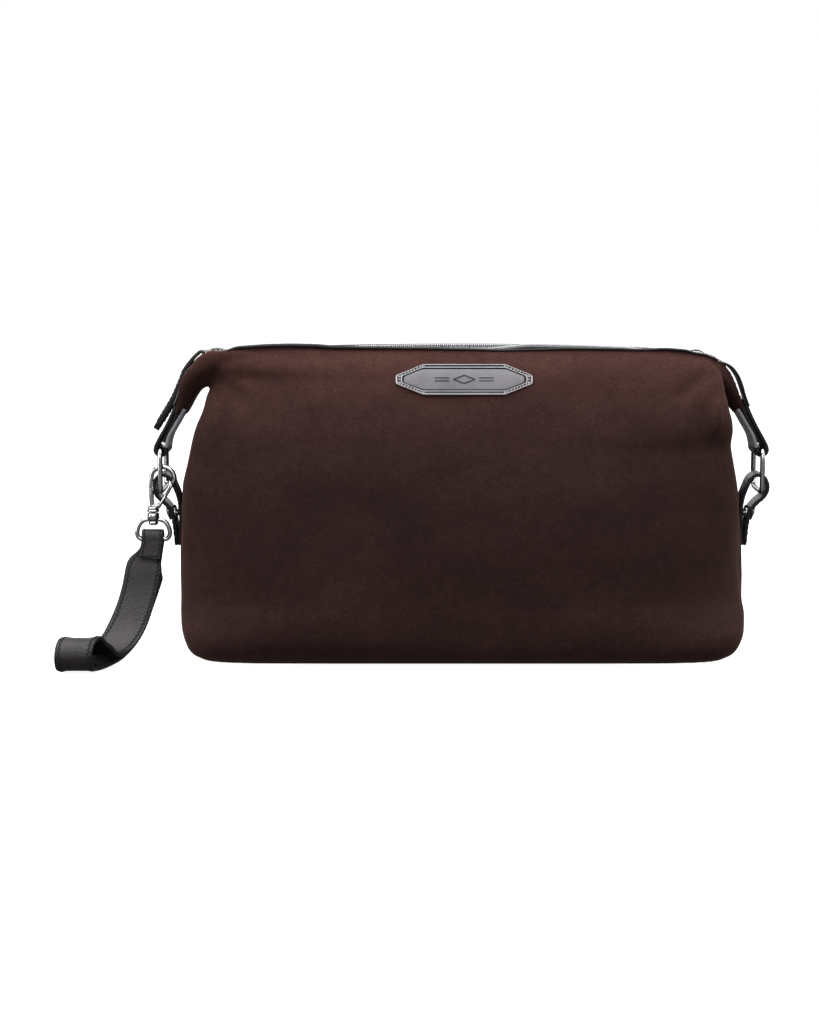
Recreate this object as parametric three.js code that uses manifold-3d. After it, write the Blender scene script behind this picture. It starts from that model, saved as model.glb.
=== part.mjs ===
// Suede wash bag with a zip top, two folded-down ears held by snap tabs, and a clip-on wrist strap.
// Millimetres, +Z up, front towards -Y, origin at the middle of the base's underside.

import * as THREE from 'three';
import { mergeVertices } from 'three/addons/utils/BufferGeometryUtils.js';
import Module from 'manifold-3d';

const wasm = await Module();
wasm.setup();

// ---- driving dimensions ----------------------------------------------------------------------

const GAP = 0.3;                // space left between pieces that touch
const SUEDE = 2.0;              // thickness of the suede shell
const BASE_SEAM = 6;            // height of the seam between base and panels
const RIM_DROP = 3.6;           // the panels end this far under the zip's arc
const TUNNEL_DROP = 5.2;        // and further down where the slider runs
const TUNNEL_HALF = 11;

// half widths (x) and half depths (y) of the bag, by height
const BODY_LEVELS = [
  { z: 0, x: 131, y: 43 },
  { z: 3, x: 135.5, y: 47.5 },
  { z: 9, x: 138, y: 50 },
  { z: 24, x: 140, y: 52 },
  { z: 52, x: 139.8, y: 51 },
  { z: 76, x: 137.8, y: 46.5 },
  { z: 98, x: 134, y: 39.5 },
  { z: 116, x: 129, y: 32 },
  { z: 132, x: 123.5, y: 24.5 },
  { z: 150, x: 117, y: 16 },
];
const BODY_ROUND = 3.2;         // exponent of the bag's rounded-rectangle section
const SIDE_PINCH = 2.5;         // how far the sides draw in at the seam
const PINCH_WIDTH = 15;
const BODY_SIDES = 40;

const ZIP_TOP = 150.5;          // top of the zip at the middle
const ZIP_RADIUS = 1830;        // the zip rises in one long arc
const ZIP_HALF = 126;           // half length of the chain
const ZIP_REST = 119;           // the slider's distance from the middle, shut or open

const EAR_WIDTH = 33;
const EAR_END_WIDTH = 24;
const EAR_STEP = 129;           // the ear rises to its full height past the zip's end
const TAB_WIDTH = 22;
const TAB_THICK = 4.6;
const BAR_RADIUS = 1.25;        // wire of the side links
const LINK_X = 146;
const LINK_TOP = 100;
const LINK_BOTTOM = 79.8;
const LINK_HALF = 14.3;

const BAND_WIDTH = 14;          // snap tab
const BAND_THICK = 1.8;
const SNAP_Z = 68;
const SNAP_TILT = 0.15;

const HOOK_Y = -11.4;           // plane of the clip, beside the snap tab
const HOOK_WIRE = 1.2;
const SWIVEL_X = -150;
const RING_HALF = 7.8;
const RING_TOP = 67.5;
const RING_BOTTOM = 56.6;
const RING_WIRE = 1.1;
const RING_CORNER = 2.6;        // bend radius of the links' and the swivel ring's corners

const CHAPE_WIDTH = 11.3;
const STRAP_WIDTH = 18.5;
const STRAP_THICK = 2.0;

// ---- materials -------------------------------------------------------------------------------

const finish = (color, roughness, metalness = 0) =>
  new THREE.MeshStandardMaterial({ color, roughness, metalness });

const suede = finish(0x3a2a29, 0.95);
const leather = finish(0x1d1b1e, 0.5);
const patchLeather = finish(0x6f6d73, 0.55);
const lining = finish(0x2a2422, 0.9);
const board = finish(0x6b5a48, 0.9);
const tapeCloth = finish(0x161416, 0.85);
const nickel = finish(0xb9bac0, 0.22, 1);

// ---- solids ----------------------------------------------------------------------------------

const group = new THREE.Group();

function add(name, geometry, material) {
  const mesh = new THREE.Mesh(geometry, material);
  mesh.name = name;
  group.add(mesh);
  return mesh;
}

function solid(geometry) {
  const bare = geometry.clone();
  bare.deleteAttribute('normal');
  bare.deleteAttribute('uv');
  const merged = mergeVertices(bare, 1e-4);
  return new wasm.Manifold(new wasm.Mesh({
    numProp: 3,
    vertProperties: new Float32Array(merged.attributes.position.array),
    triVerts: new Uint32Array(merged.index.array),
  }));
}

function geometryOf(manifold) {
  const mesh = manifold.getMesh();
  const geometry = new THREE.BufferGeometry();
  geometry.setAttribute('position', new THREE.BufferAttribute(mesh.vertProperties, 3));
  geometry.setIndex(new THREE.BufferAttribute(mesh.triVerts, 1));
  return geometry;
}

function movePoints(geometry, move) {
  const position = geometry.attributes.position;
  const point = new THREE.Vector3();
  for (let i = 0; i < position.count; i += 1) {
    point.fromBufferAttribute(position, i);
    move(point);
    position.setXYZ(i, point.x, point.y, point.z);
  }
  return geometry;
}

function block(x0, x1, y0, y1, z0, z1) {
  const geometry = new THREE.BoxGeometry(x1 - x0, y1 - y0, z1 - z0);
  geometry.translate((x0 + x1) / 2, (y0 + y1) / 2, (z0 + z1) / 2);
  return geometry;
}

const curveThrough = (points) => new THREE.CatmullRomCurve3(
  points.map(([x, z]) => new THREE.Vector3(x, 0, z)), false, 'centripetal');

// A flat outline in the XZ plane, given thickness along Y about the plane y.
function slab(shape, width, y = 0, curveSegments = 12) {
  const geometry = new THREE.ExtrudeGeometry(shape, {
    depth: width, bevelEnabled: false, curveSegments,
  });
  geometry.rotateX(Math.PI / 2);
  geometry.translate(0, y + width / 2, 0);
  return geometry;
}

// The outline of a band that follows points [x, z], with a half thickness by distance along it.
function bandShape(points, half, steps) {
  const curve = curveThrough(points);
  const left = [];
  const right = [];
  for (let i = 0; i <= steps; i += 1) {
    const t = i / steps;
    const p = curve.getPointAt(t);
    const d = curve.getTangentAt(t);
    const h = typeof half === 'function' ? half(t) : half;
    left.push(new THREE.Vector2(p.x - d.z * h, p.z + d.x * h));
    right.push(new THREE.Vector2(p.x + d.z * h, p.z - d.x * h));
  }
  return new THREE.Shape([...left, ...right.reverse()]);
}

function wire(points, radius, steps, sides = 8) {
  const circle = new THREE.Shape();
  circle.absarc(0, 0, radius, 0, 2 * Math.PI);
  return new THREE.ExtrudeGeometry(circle, {
    steps, curveSegments: sides, bevelEnabled: false,
    extrudePath: points instanceof THREE.Curve ? points : curveThrough(points),
  });
}

// A closed ring of wire round a rounded rectangle; across and up say which axes it spans.
function ring(centre, across, up, halfWidth, halfHeight, radius) {
  const points = [];
  for (const [u, v, start] of [[1, 1, 0], [-1, 1, 0.5], [-1, -1, 1], [1, -1, 1.5]]) {
    for (let i = 0; i <= 3; i += 1) {
      const angle = (start + i / 6) * Math.PI;
      const x = u * (halfWidth - RING_CORNER) + RING_CORNER * Math.cos(angle);
      const y = v * (halfHeight - RING_CORNER) + RING_CORNER * Math.sin(angle);
      points.push(centre.clone().addScaledVector(across, x).addScaledVector(up, y));
    }
  }
  const curve = new THREE.CatmullRomCurve3(points, true, 'centripetal');
  return new THREE.TubeGeometry(curve, 36, radius, 8, true);
}

// Part of the zip's long arc: heights are below the zip's top, x0 to x1 measured along the top.
function arcStrip(x0, x1, low, high, y0, y1, slope = 0) {
  const shape = new THREE.Shape();
  const centre = ZIP_TOP - ZIP_RADIUS;
  const from = Math.PI / 2 - x0 / ZIP_RADIUS;
  const to = Math.PI / 2 - x1 / ZIP_RADIUS;
  shape.absarc(0, centre, ZIP_RADIUS + high, from, to, true);
  shape.absarc(0, centre, ZIP_RADIUS + low, to, from, false);
  const geometry = slab(shape, y1 - y0, (y0 + y1) / 2, x1 - x0 > 10 ? 14 : 2);
  return movePoints(geometry, (p) => {
    p.z -= slope * (Math.abs(p.y) - Math.min(Math.abs(y0), Math.abs(y1)));
  });
}

// ---- the bag's body --------------------------------------------------------------------------

function levelAt(z) {
  const last = BODY_LEVELS.length - 1;
  let i = 0;
  while (i < last - 1 && z > BODY_LEVELS[i + 1].z) i += 1;
  const a = BODY_LEVELS[i];
  const b = BODY_LEVELS[i + 1];
  const t = Math.min(1, Math.max(0, (z - a.z) / (b.z - a.z)));
  return { x: a.x + (b.x - a.x) * t, y: a.y + (b.y - a.y) * t };
}

// The bag's outer form shrunk by inset (or grown, when it is negative), from bottom to top.
function bodyForm(inset, bottom, top) {
  const profile = [new THREE.Vector2(0, bottom)];
  const rows = BODY_LEVELS.map((level) => level.z).filter((z) => z > bottom && z < top);
  for (const z of [bottom, ...rows, top]) profile.push(new THREE.Vector2(1, z));
  profile.push(new THREE.Vector2(0, top));
  const geometry = new THREE.LatheGeometry(profile, BODY_SIDES);
  geometry.rotateX(Math.PI / 2);
  return solid(movePoints(geometry, (p) => {
    const reach = Math.hypot(p.x, p.y);
    if (reach < 1e-6) return;
    const level = levelAt(p.z);
    const c = p.x / reach;
    const s = p.y / reach;
    const power = 2 / BODY_ROUND;
    const y = (level.y - inset) * Math.sign(s) * Math.abs(s) ** power;
    const pinch = SIDE_PINCH * Math.exp(-((y / PINCH_WIDTH) ** 2));
    p.x = (level.x - inset - pinch) * Math.sign(c) * Math.abs(c) ** power;
    p.y = y;
  }));
}

const outer = bodyForm(0, 0, 150);
const inner = bodyForm(SUEDE, SUEDE, 151);
const shell = outer.subtract(inner);
const SEAM_HALF = 0.75;         // half the slit that holds a side seam

function slice(body, y0, y1, z0, z1) {
  return body.intersect(solid(block(-200, 200, y0, y1, z0, z1)));
}

const aboveRim = solid(arcStrip(-160, 160, -RIM_DROP, 20, -100, 100));
const tunnel = solid(arcStrip(-160, 160, -TUNNEL_DROP, 20, -TUNNEL_HALF, TUNNEL_HALF));
const walls = shell.subtract(aboveRim).subtract(tunnel);
const panelBottom = BASE_SEAM + GAP;
add('front_panel', geometryOf(slice(walls, -100, -SEAM_HALF, panelBottom, 160)), suede);
add('back_panel', geometryOf(slice(walls, SEAM_HALF, 100, panelBottom, 160)), suede);
add('base_panel', geometryOf(slice(walls, -100, 100, -1, BASE_SEAM)), suede);

const boardSolid = bodyForm(SUEDE + 2.5, SUEDE + GAP, 90);
add('base_board', geometryOf(slice(boardSolid, -100, 100, 0, SUEDE + GAP + 1.5)), board);

const LINING_TOP = 140;
const LINING_FLOOR = SUEDE + GAP + 1.5 + GAP;
const liningOuter = bodyForm(SUEDE + 0.5, LINING_FLOOR, 151);
const liningInner = bodyForm(SUEDE + 1.3, LINING_FLOOR + 0.8, 152);
add('lining', geometryOf(slice(liningOuter.subtract(liningInner), -100, 100, 0, LINING_TOP)), lining);

const SEAM_PROUD = 0.5;
const SEAM_TOP = 129;
const seamOuter = bodyForm(-SEAM_PROUD, -1, 150);
const seamSlit = seamOuter.subtract(inner);
for (const [side, name] of [[-1, 'left'], [1, 'right']]) {
  const half = SEAM_HALF - GAP;
  const x0 = side < 0 ? -200 : 60;
  const cut = block(x0, x0 + 140, -half, half, panelBottom + GAP, SEAM_TOP);
  add(`${name}_side_seam`, geometryOf(seamSlit.intersect(solid(cut))), leather);
}

// ---- top trim and zip ------------------------------------------------------------------------

const TEETH = { inside: 0.8, outside: 2.4, low: -3, high: -0.6 };
const TAPE = { inside: 2.7, outside: 9, low: -2.7, high: -2.1 };
const BORDER = { inside: 5.4, outside: 15.2, low: -1.2, high: 0, slope: 0.16 };
const BINDING_Y = 17;
const BINDING_RADIUS = 1.4;

for (const [side, name] of [[-1, 'front'], [1, 'back']]) {
  const strip = (x, part) => {
    const ends = [side * part.inside, side * part.outside].sort((a, b) => a - b);
    return arcStrip(-x, x, part.low, part.high, ends[0], ends[1], part.slope);
  };
  add(`${name}_teeth`, strip(ZIP_HALF, TEETH), nickel);
  add(`${name}_zip_tape`, strip(ZIP_HALF, TAPE), tapeCloth);
  add(`${name}_zip_border`, strip(ZIP_HALF - 1.5, BORDER), leather);
  const points = [];
  for (let x = -117; x <= 117; x += 26) {
    points.push(new THREE.Vector3(x, side * BINDING_Y, ZIP_TOP - 1.9 - (x * x) / (2 * ZIP_RADIUS)));
  }
  const edge = new THREE.CatmullRomCurve3(points);
  add(`${name}_binding`, wire(edge, BINDING_RADIUS, 18), leather);
}

for (const [side, name] of [[-1, 'left'], [1, 'right']]) {
  const x = side * (ZIP_HALF + 1.4);
  add(`${name}_zip_stop`, arcStrip(x - 1, x + 1, TEETH.low, TEETH.high, -2.6, 2.6), nickel);
}

// ---- slider, pull and leather puller ---------------------------------------------------------

const SLIDER_LENGTH = 9;
const zipAngle = -ZIP_REST / ZIP_RADIUS;
const onZip = (geometry) => {
  geometry.translate(0, 0, ZIP_RADIUS);
  geometry.rotateY(zipAngle);
  geometry.translate(0, 0, ZIP_TOP - ZIP_RADIUS);
  return geometry;
};

function sliderBody() {
  const half = SLIDER_LENGTH / 2;
  let body = solid(block(-half, half, -4.4, 4.4, -4.6, 0.9));
  body = body.subtract(solid(block(-10, 10, -3, 3, -3.6, 0)));
  body = body.subtract(solid(block(-10, 10, -10, 10, -3.1, -1.6)));
  body = body.add(solid(block(1, half, -0.45, 0.45, -4.2, 0.5)));
  const arch = new THREE.CatmullRomCurve3([
    new THREE.Vector3(-3.6, 0, 0.5),
    new THREE.Vector3(-3.4, 0, 2.6),
    new THREE.Vector3(-1.5, 0, 3.7),
    new THREE.Vector3(1.5, 0, 3.7),
    new THREE.Vector3(3.4, 0, 2.6),
    new THREE.Vector3(3.6, 0, 0.5),
  ]);
  return body.add(solid(wire(arch, 0.65, 14)));
}
add('zip_slider', onZip(geometryOf(sliderBody())), nickel);

const PULL_AXIS = 1.9;          // height of the pull's bar above the zip's top
const PULL_LENGTH = 10;
const PULL_DROP = 0.1;          // how steeply the pull leans down at rest, in radians

function pullPlate() {
  const shape = new THREE.Shape();
  shape.moveTo(0.5, -3);
  shape.lineTo(0.5, 3);
  shape.lineTo(-PULL_LENGTH + 2, 3);
  shape.absarc(-PULL_LENGTH + 2, 0, 3, Math.PI / 2, 1.5 * Math.PI);
  const hole = new THREE.Path();
  hole.moveTo(-0.5, -1.7);
  hole.lineTo(-5.6, -1.7);
  hole.lineTo(-5.6, 1.7);
  hole.lineTo(-0.5, 1.7);
  shape.holes.push(hole);
  const plate = new THREE.ExtrudeGeometry(shape, {
    depth: 1, bevelEnabled: false, curveSegments: 8,
  });
  plate.translate(0, 0, -0.5);
  plate.rotateY(-PULL_DROP);
  plate.translate(0, 0, PULL_AXIS);
  return onZip(plate);
}
add('zip_pull', pullPlate(), nickel);

const pullerPath = [[-131.5, 145.3], [-135.8, 142], [-139.2, 135], [-144.6, 121], [-150, 108.5]];
add('zip_puller', slab(bandShape(pullerPath, 1.6, 10), 10.5), leather);

// ---- ears and end tabs -----------------------------------------------------------------------

const clearOfBody = bodyForm(-GAP, -1, 150);

function ear(side) {
  const path = [[121, 140], [126.5, 139.3], [130.6, 135], [132.6, 128], [136.4, 120.4]];
  const thick = (t) => 4.2 - 0.9 * t;
  const shape = bandShape(path.map(([x, z]) => [x, z]), thick, 12);
  const geometry = slab(shape, EAR_WIDTH);
  movePoints(geometry, (p) => {
    const t = Math.min(1, Math.max(0, (142 - p.z) / 22));
    p.y *= 1 + (EAR_END_WIDTH / EAR_WIDTH - 1) * t;
  });
  const underZip = solid(arcStrip(100, EAR_STEP, -TUNNEL_DROP, 20, -30, 30));
  const form = solid(geometry).subtract(clearOfBody).subtract(underZip);
  const result = geometryOf(form);
  return side > 0 ? result : mirrored(result);
}

// The same geometry on the other side of the bag's middle plane.
function mirrored(geometry) {
  const copy = geometry.index ? geometry.toNonIndexed() : geometry.clone();
  copy.scale(-1, 1, 1);
  const p = copy.attributes.position;
  const a = new THREE.Vector3();
  const b = new THREE.Vector3();
  for (let i = 0; i < p.count; i += 3) {
    a.fromBufferAttribute(p, i + 1);
    b.fromBufferAttribute(p, i + 2);
    p.setXYZ(i + 1, b.x, b.y, b.z);
    p.setXYZ(i + 2, a.x, a.y, a.z);
  }
  return copy;
}

function endTab(side) {
  const path = [[136.7, 119.9], [139.6, 113.4], [143.4, 105.8], [LINK_X - 0.3, LINK_TOP + 1]];
  const strip = solid(slab(bandShape(path, TAB_THICK / 2, 8), TAB_WIDTH));
  const round = new THREE.Shape();
  round.absarc(LINK_X, LINK_TOP, BAR_RADIUS + 2.5, 0, 2 * Math.PI);
  const bore = new THREE.Shape();
  bore.absarc(LINK_X, LINK_TOP, BAR_RADIUS + 0.4, 0, 2 * Math.PI);
  const tab = strip.add(solid(slab(round, TAB_WIDTH, 0, 20)))
    .subtract(solid(slab(bore, TAB_WIDTH + 4, 0, 16)));
  const result = geometryOf(tab);
  return side > 0 ? result : mirrored(result);
}

// ---- links and snap tabs ---------------------------------------------------------------------

const ALONG_X = new THREE.Vector3(1, 0, 0);
const ALONG_Y = new THREE.Vector3(0, 1, 0);
const ALONG_Z = new THREE.Vector3(0, 0, 1);

function link(side) {
  const centre = new THREE.Vector3(side * LINK_X, 0, (LINK_TOP + LINK_BOTTOM) / 2);
  return ring(centre, ALONG_Y, ALONG_Z, LINK_HALF, (LINK_TOP - LINK_BOTTOM) / 2, BAR_RADIUS);
}

const STRAP_PATH = [[139, 53], [137.9, 66], [138.3, 76], [141, 83.6], [144.4, 86.7]];
const FLAP_PATH = [[146, 86.9], [149.3, 85], [150.4, 81], [148.4, 76.8], [145.2, 73.6],
  [143.7, 68], [142.4, 60], [141.7, 52]];

function snapBand(side, path, steps) {
  return slab(bandShape(path.map(([x, z]) => [side * x, z]), BAND_THICK / 2, steps), BAND_WIDTH);
}

// A round snap part turned about the axis through the snap, x0 to x1 out from the bag.
function snapPart(side, profile, x) {
  const geometry = new THREE.LatheGeometry(profile.map(([r, h]) => new THREE.Vector2(r, h)), 20);
  geometry.rotateZ(-Math.PI / 2);
  geometry.rotateY(SNAP_TILT);
  geometry.translate(x, 0, SNAP_Z);
  return side > 0 ? geometry : mirrored(geometry);
}

const CAP_PROFILE = [[0, 0], [4.4, 0], [4.4, 0.5], [3.4, 1.3], [1.8, 1.7], [0, 1.8]];
const SOCKET_PROFILE = [[2.2, 0], [3.8, 0], [3.8, 1.2], [2.2, 1.2], [2.2, 0]];
const STUD_PROFILE = [[0, 0], [3.8, 0], [3.8, 0.7], [1.6, 0.9], [1.7, 2], [1.2, 2.4], [0, 2.4]];

for (const [side, name] of [[-1, 'left'], [1, 'right']]) {
  add(`${name}_ear`, ear(side), suede);
  add(`${name}_end_tab`, endTab(side), leather);
  add(`${name}_link`, link(side), nickel);
  add(`${name}_snap_strap`, snapBand(side, STRAP_PATH, 12), leather);
  add(`${name}_snap_flap`, snapBand(side, FLAP_PATH, 18), leather);
  add(`${name}_snap_cap`, snapPart(side, CAP_PROFILE, 145.2), nickel);
  add(`${name}_snap_socket`, snapPart(side, SOCKET_PROFILE, 141.25), nickel);
  add(`${name}_snap_stud`, snapPart(side, STUD_PROFILE, 139.55), nickel);
}

// ---- the patch -------------------------------------------------------------------------------

const PATCH = { width: 66, height: 16.5, corner: 13, rise: 5.2, z: 136, thick: 1.2 };

function patchGeometry() {
  const w = PATCH.width / 2;
  const h = PATCH.height / 2;
  const shape = new THREE.Shape([
    new THREE.Vector2(-w, -h + PATCH.rise), new THREE.Vector2(-w + PATCH.corner, -h),
    new THREE.Vector2(w - PATCH.corner, -h), new THREE.Vector2(w, -h + PATCH.rise),
    new THREE.Vector2(w, h - PATCH.rise), new THREE.Vector2(w - PATCH.corner, h),
    new THREE.Vector2(-w + PATCH.corner, h), new THREE.Vector2(-w, h - PATCH.rise),
  ]);
  const geometry = new THREE.ExtrudeGeometry(shape, { depth: PATCH.thick, bevelEnabled: false });
  geometry.rotateX(Math.PI / 2);
  const low = levelAt(PATCH.z - h);
  const high = levelAt(PATCH.z + h);
  geometry.rotateX(-Math.atan2(low.y - high.y, PATCH.height));
  geometry.translate(0, -(low.y + high.y) / 2 - 0.6, PATCH.z);
  return geometry;
}
add('patch', patchGeometry(), patchLeather);

// ---- clip and swivel -------------------------------------------------------------------------

const EYE = { x: -145.1, z: 86.2, radius: 5.6 };
const NECK_TOP = 73;
const COLLAR_BOTTOM = 69.6;
const BOSS = { bottom: 65.9, top: 69.2, radius: 2.7, bore: 1.4 };

function disc(x, y, z0, z1, radius, sides = 16) {
  const geometry = new THREE.CylinderGeometry(radius, radius, z1 - z0, sides);
  geometry.rotateX(Math.PI / 2);
  geometry.translate(x, y, (z0 + z1) / 2);
  return geometry;
}

function hookBody() {
  const points = [[SWIVEL_X, NECK_TOP - 1.5], [-150.5, 78]];
  for (let i = 0; i <= 6; i += 1) {
    const angle = Math.PI - (Math.PI * i) / 6;
    points.push([EYE.x + EYE.radius * Math.cos(angle), EYE.z + EYE.radius * Math.sin(angle)]);
  }
  points.push([-140.2, 84.9]);
  const bar = wire(points, HOOK_WIRE, 26);
  bar.translate(0, HOOK_Y, 0);
  const heel = block(-150.5, -148.4, HOOK_Y - 1.1, HOOK_Y + 1.1, NECK_TOP - 1.6, NECK_TOP + 2.4);
  return solid(bar)
    .add(solid(disc(SWIVEL_X, HOOK_Y, COLLAR_BOTTOM, NECK_TOP, 2.9)))
    .add(solid(heel));
}

const GATE_FOOT = [-146.3, 74.2];
const GATE_TIP = [-140.9, 83.2];

function hookGate() {
  const blade = solid(slab(bandShape([GATE_FOOT, [-143.6, 78.7], GATE_TIP], 0.8, 6), 2.2, HOOK_Y));
  const round = new THREE.Shape();
  round.absarc(GATE_FOOT[0], GATE_FOOT[1], 1.3, 0, 2 * Math.PI);
  const bore = new THREE.Shape();
  bore.absarc(GATE_FOOT[0], GATE_FOOT[1], 0.75, 0, 2 * Math.PI);
  return blade.add(solid(slab(round, 2.2, HOOK_Y))).subtract(solid(slab(bore, 6, HOOK_Y)));
}

function gatePin() {
  const pin = new THREE.Shape();
  pin.absarc(GATE_FOOT[0], GATE_FOOT[1], 0.45, 0, 2 * Math.PI);
  const geometry = slab(pin, 3.2, HOOK_Y, 10);
  return geometry;
}

function swivelRing() {
  const centre = new THREE.Vector3(SWIVEL_X, HOOK_Y, (RING_TOP + RING_BOTTOM) / 2);
  const loop = ring(centre, ALONG_X, ALONG_Z, RING_HALF, (RING_TOP - RING_BOTTOM) / 2, RING_WIRE);
  return solid(loop)
    .add(solid(disc(SWIVEL_X, HOOK_Y, BOSS.bottom, BOSS.top, BOSS.radius)))
    .subtract(solid(disc(SWIVEL_X, HOOK_Y, 60, 75, BOSS.bore)));
}

function swivelPin() {
  return solid(disc(SWIVEL_X, HOOK_Y, 63.4, COLLAR_BOTTOM - GAP, 1))
    .add(solid(disc(SWIVEL_X, HOOK_Y, 63.3, BOSS.bottom - GAP, 2.3)));
}

add('hook_body', geometryOf(hookBody()), nickel);
add('hook_gate', geometryOf(hookGate()), nickel);
add('gate_pin', gatePin(), nickel);
add('swivel_ring', geometryOf(swivelRing()), nickel);
add('swivel_pin', geometryOf(swivelPin()), nickel);

// ---- wrist strap -----------------------------------------------------------------------------

// A flat band of leather that follows points [x, y, z], its width kept near level.
function ribbon(points, width, thick, steps) {
  const curve = new THREE.CatmullRomCurve3(
    points.map(([x, y, z]) => new THREE.Vector3(x, y, z)), false, 'centripetal');
  const geometry = new THREE.BoxGeometry(1, 1, 1, 1, 1, steps);
  return movePoints(geometry, (p) => {
    const t = p.z + 0.5;
    const along = curve.getTangentAt(t);
    const across = ALONG_X.clone().addScaledVector(along, -along.x).normalize();
    const out = along.clone().cross(across);
    const at = curve.getPointAt(t);
    at.addScaledVector(across, p.x * width).addScaledVector(out, p.y * thick);
    p.copy(at);
  });
}

const STRAP_ROUTE = [
  [-151.2, -14.7, 47], [-153.8, -17.8, 37], [-157.8, -24.5, 25], [-162.5, -34, 13.5],
  [-168.5, -45.5, 8.6], [-175, -55, 12.6], [-179.5, -63, 16.2], [-182, -71.5, 13.4],
  [-182.4, -74.6, 8.6], [-181.8, -71, 3.4], [-179, -62, 1.5], [-171, -47, 1.5],
  [-164.5, -34, 3.4], [-159.5, -21.5, 11.5], [-155.6, -12.6, 26], [-153, -8.9, 38],
  [-151.2, -8.1, 47],
];

function chape() {
  const outside = new THREE.Shape();
  const radius = 4.1;
  const leg = 1.65;
  const foot = 34;
  outside.moveTo(HOOK_Y - leg, foot);
  outside.lineTo(HOOK_Y - leg, RING_BOTTOM - 8);
  outside.lineTo(HOOK_Y - radius, RING_BOTTOM);
  outside.absarc(HOOK_Y, RING_BOTTOM, radius, Math.PI, 0, true);
  outside.lineTo(HOOK_Y + leg, RING_BOTTOM - 8);
  outside.lineTo(HOOK_Y + leg, foot);
  const eye = new THREE.Path();
  eye.absarc(HOOK_Y, RING_BOTTOM, RING_WIRE + 0.5, 0, 2 * Math.PI);
  outside.holes.push(eye);
  const geometry = new THREE.ExtrudeGeometry(outside, {
    depth: CHAPE_WIDTH, bevelEnabled: false, curveSegments: 12,
  });
  geometry.translate(0, 0, -CHAPE_WIDTH / 2);
  const turn = new THREE.Matrix4().makeBasis(ALONG_Y, ALONG_Z, ALONG_X);
  geometry.applyMatrix4(turn);
  return movePoints(geometry, (p) => {
    p.x += SWIVEL_X - 0.12 * Math.max(0, RING_BOTTOM - 6 - p.z);
    p.y -= 0.3 * Math.max(0, RING_BOTTOM - 12 - p.z);
  });
}
add('strap_chape', chape(), leather);
add('wrist_strap', ribbon(STRAP_ROUTE, STRAP_WIDTH, STRAP_THICK, 48), leather);

export default group;
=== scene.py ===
import math

import bmesh
import bpy
from mathutils import Matrix, Vector, noise


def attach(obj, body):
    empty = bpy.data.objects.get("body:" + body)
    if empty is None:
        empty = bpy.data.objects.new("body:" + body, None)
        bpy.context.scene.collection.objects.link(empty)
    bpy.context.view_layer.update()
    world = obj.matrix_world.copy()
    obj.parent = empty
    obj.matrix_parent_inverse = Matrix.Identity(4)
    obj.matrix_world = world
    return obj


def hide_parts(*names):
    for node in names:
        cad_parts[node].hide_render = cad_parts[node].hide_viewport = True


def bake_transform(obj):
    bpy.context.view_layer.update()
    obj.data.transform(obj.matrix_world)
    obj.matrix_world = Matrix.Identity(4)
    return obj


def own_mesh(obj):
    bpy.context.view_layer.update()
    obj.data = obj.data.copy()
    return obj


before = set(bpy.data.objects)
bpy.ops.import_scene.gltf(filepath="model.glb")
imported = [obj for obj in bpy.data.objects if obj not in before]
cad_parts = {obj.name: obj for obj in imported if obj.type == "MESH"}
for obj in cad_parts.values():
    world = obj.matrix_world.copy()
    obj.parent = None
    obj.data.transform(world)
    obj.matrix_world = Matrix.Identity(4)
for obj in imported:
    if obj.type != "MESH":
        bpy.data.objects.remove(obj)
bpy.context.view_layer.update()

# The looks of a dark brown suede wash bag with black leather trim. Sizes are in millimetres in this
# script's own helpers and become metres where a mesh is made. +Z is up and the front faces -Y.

MM = 0.001

# ---- driving dimensions ----------------------------------------------------------------------

ZIP_TOP = 150.5
ZIP_RADIUS = 1830.0
ZIP_HALF = 126.0
ZIP_REST = 119.0
TOOTH_PITCH = 1.9

# half width and half depth of the bag by height
BODY_LEVELS = [
    (0.0, 126.0, 40.5), (3.0, 131.0, 45.0), (8.0, 134.2, 48.6), (15.0, 137.2, 50.8),
    (26.0, 139.2, 52.0), (52.0, 139.8, 51.0), (76.0, 137.8, 46.5), (98.0, 134.0, 39.5),
    (116.0, 128.7, 32.4), (132.0, 122.3, 26.0), (142.0, 119.5, 21.2), (150.0, 115.0, 15.8),
]
BODY_ROUND = 3.2
BASE_ROUND = 7.5
TOP_SQUARE = 5.0
# how far the sides stand out or fall in, by height
LEFT_SET = [(0, 0), (50, -0.7), (62, -0.2), (76, 1.0), (84, 1.9), (96, 1.0), (110, 1.8),
            (119, 1.0), (127, -1.2), (134, -2.0), (142, -0.5), (151, 0)]
RIGHT_SET = [(0, 1.2), (10, 1.2), (20, 0.2), (32, -1.9), (45, -2.7), (56, -2.4), (68, -0.9),
             (78, 0.2), (92, 0.7), (102, 1.0), (110, 2.2), (118, 2.6), (126, 3.6),
             (134, 5.0), (142, 4.0), (151, 0)]
# the side seams draw the sides in, over this width
SIDE_PINCH = 2.5
PINCH_WIDTH = 15.0

LINK_X = 146.0
LINK_TOP = 100.0
LINK_BOTTOM = 79.8
LINK_HALF = 14.3
LINK_WIRE = 1.25

BAND_WIDTH = 14.0
BAND_THICK = 1.8
SNAP_Z = 68.0
SNAP_TILT = 0.15

HOOK_Y = -11.4
SWIVEL_X = -150.0
RING_BOTTOM = 56.6

STRAP_WIDTH = 17.7
STRAP_THICK = 2.0
STRAP_ROWS = 260
NECK_WIDTH = 10.8
NECK_THICK = 1.7
# inner radius of the neck's fold round the swivel ring's lower bar
NECK_INSIDE = 1.7
NECK_X = -150.3

PATCH_X = 1.0
PATCH_Z = 135.1
PATCH_HALF = 32.7
PATCH_RISE = 7.8


# ---- camera, lights and floor ----------------------------------------------------------------

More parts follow.
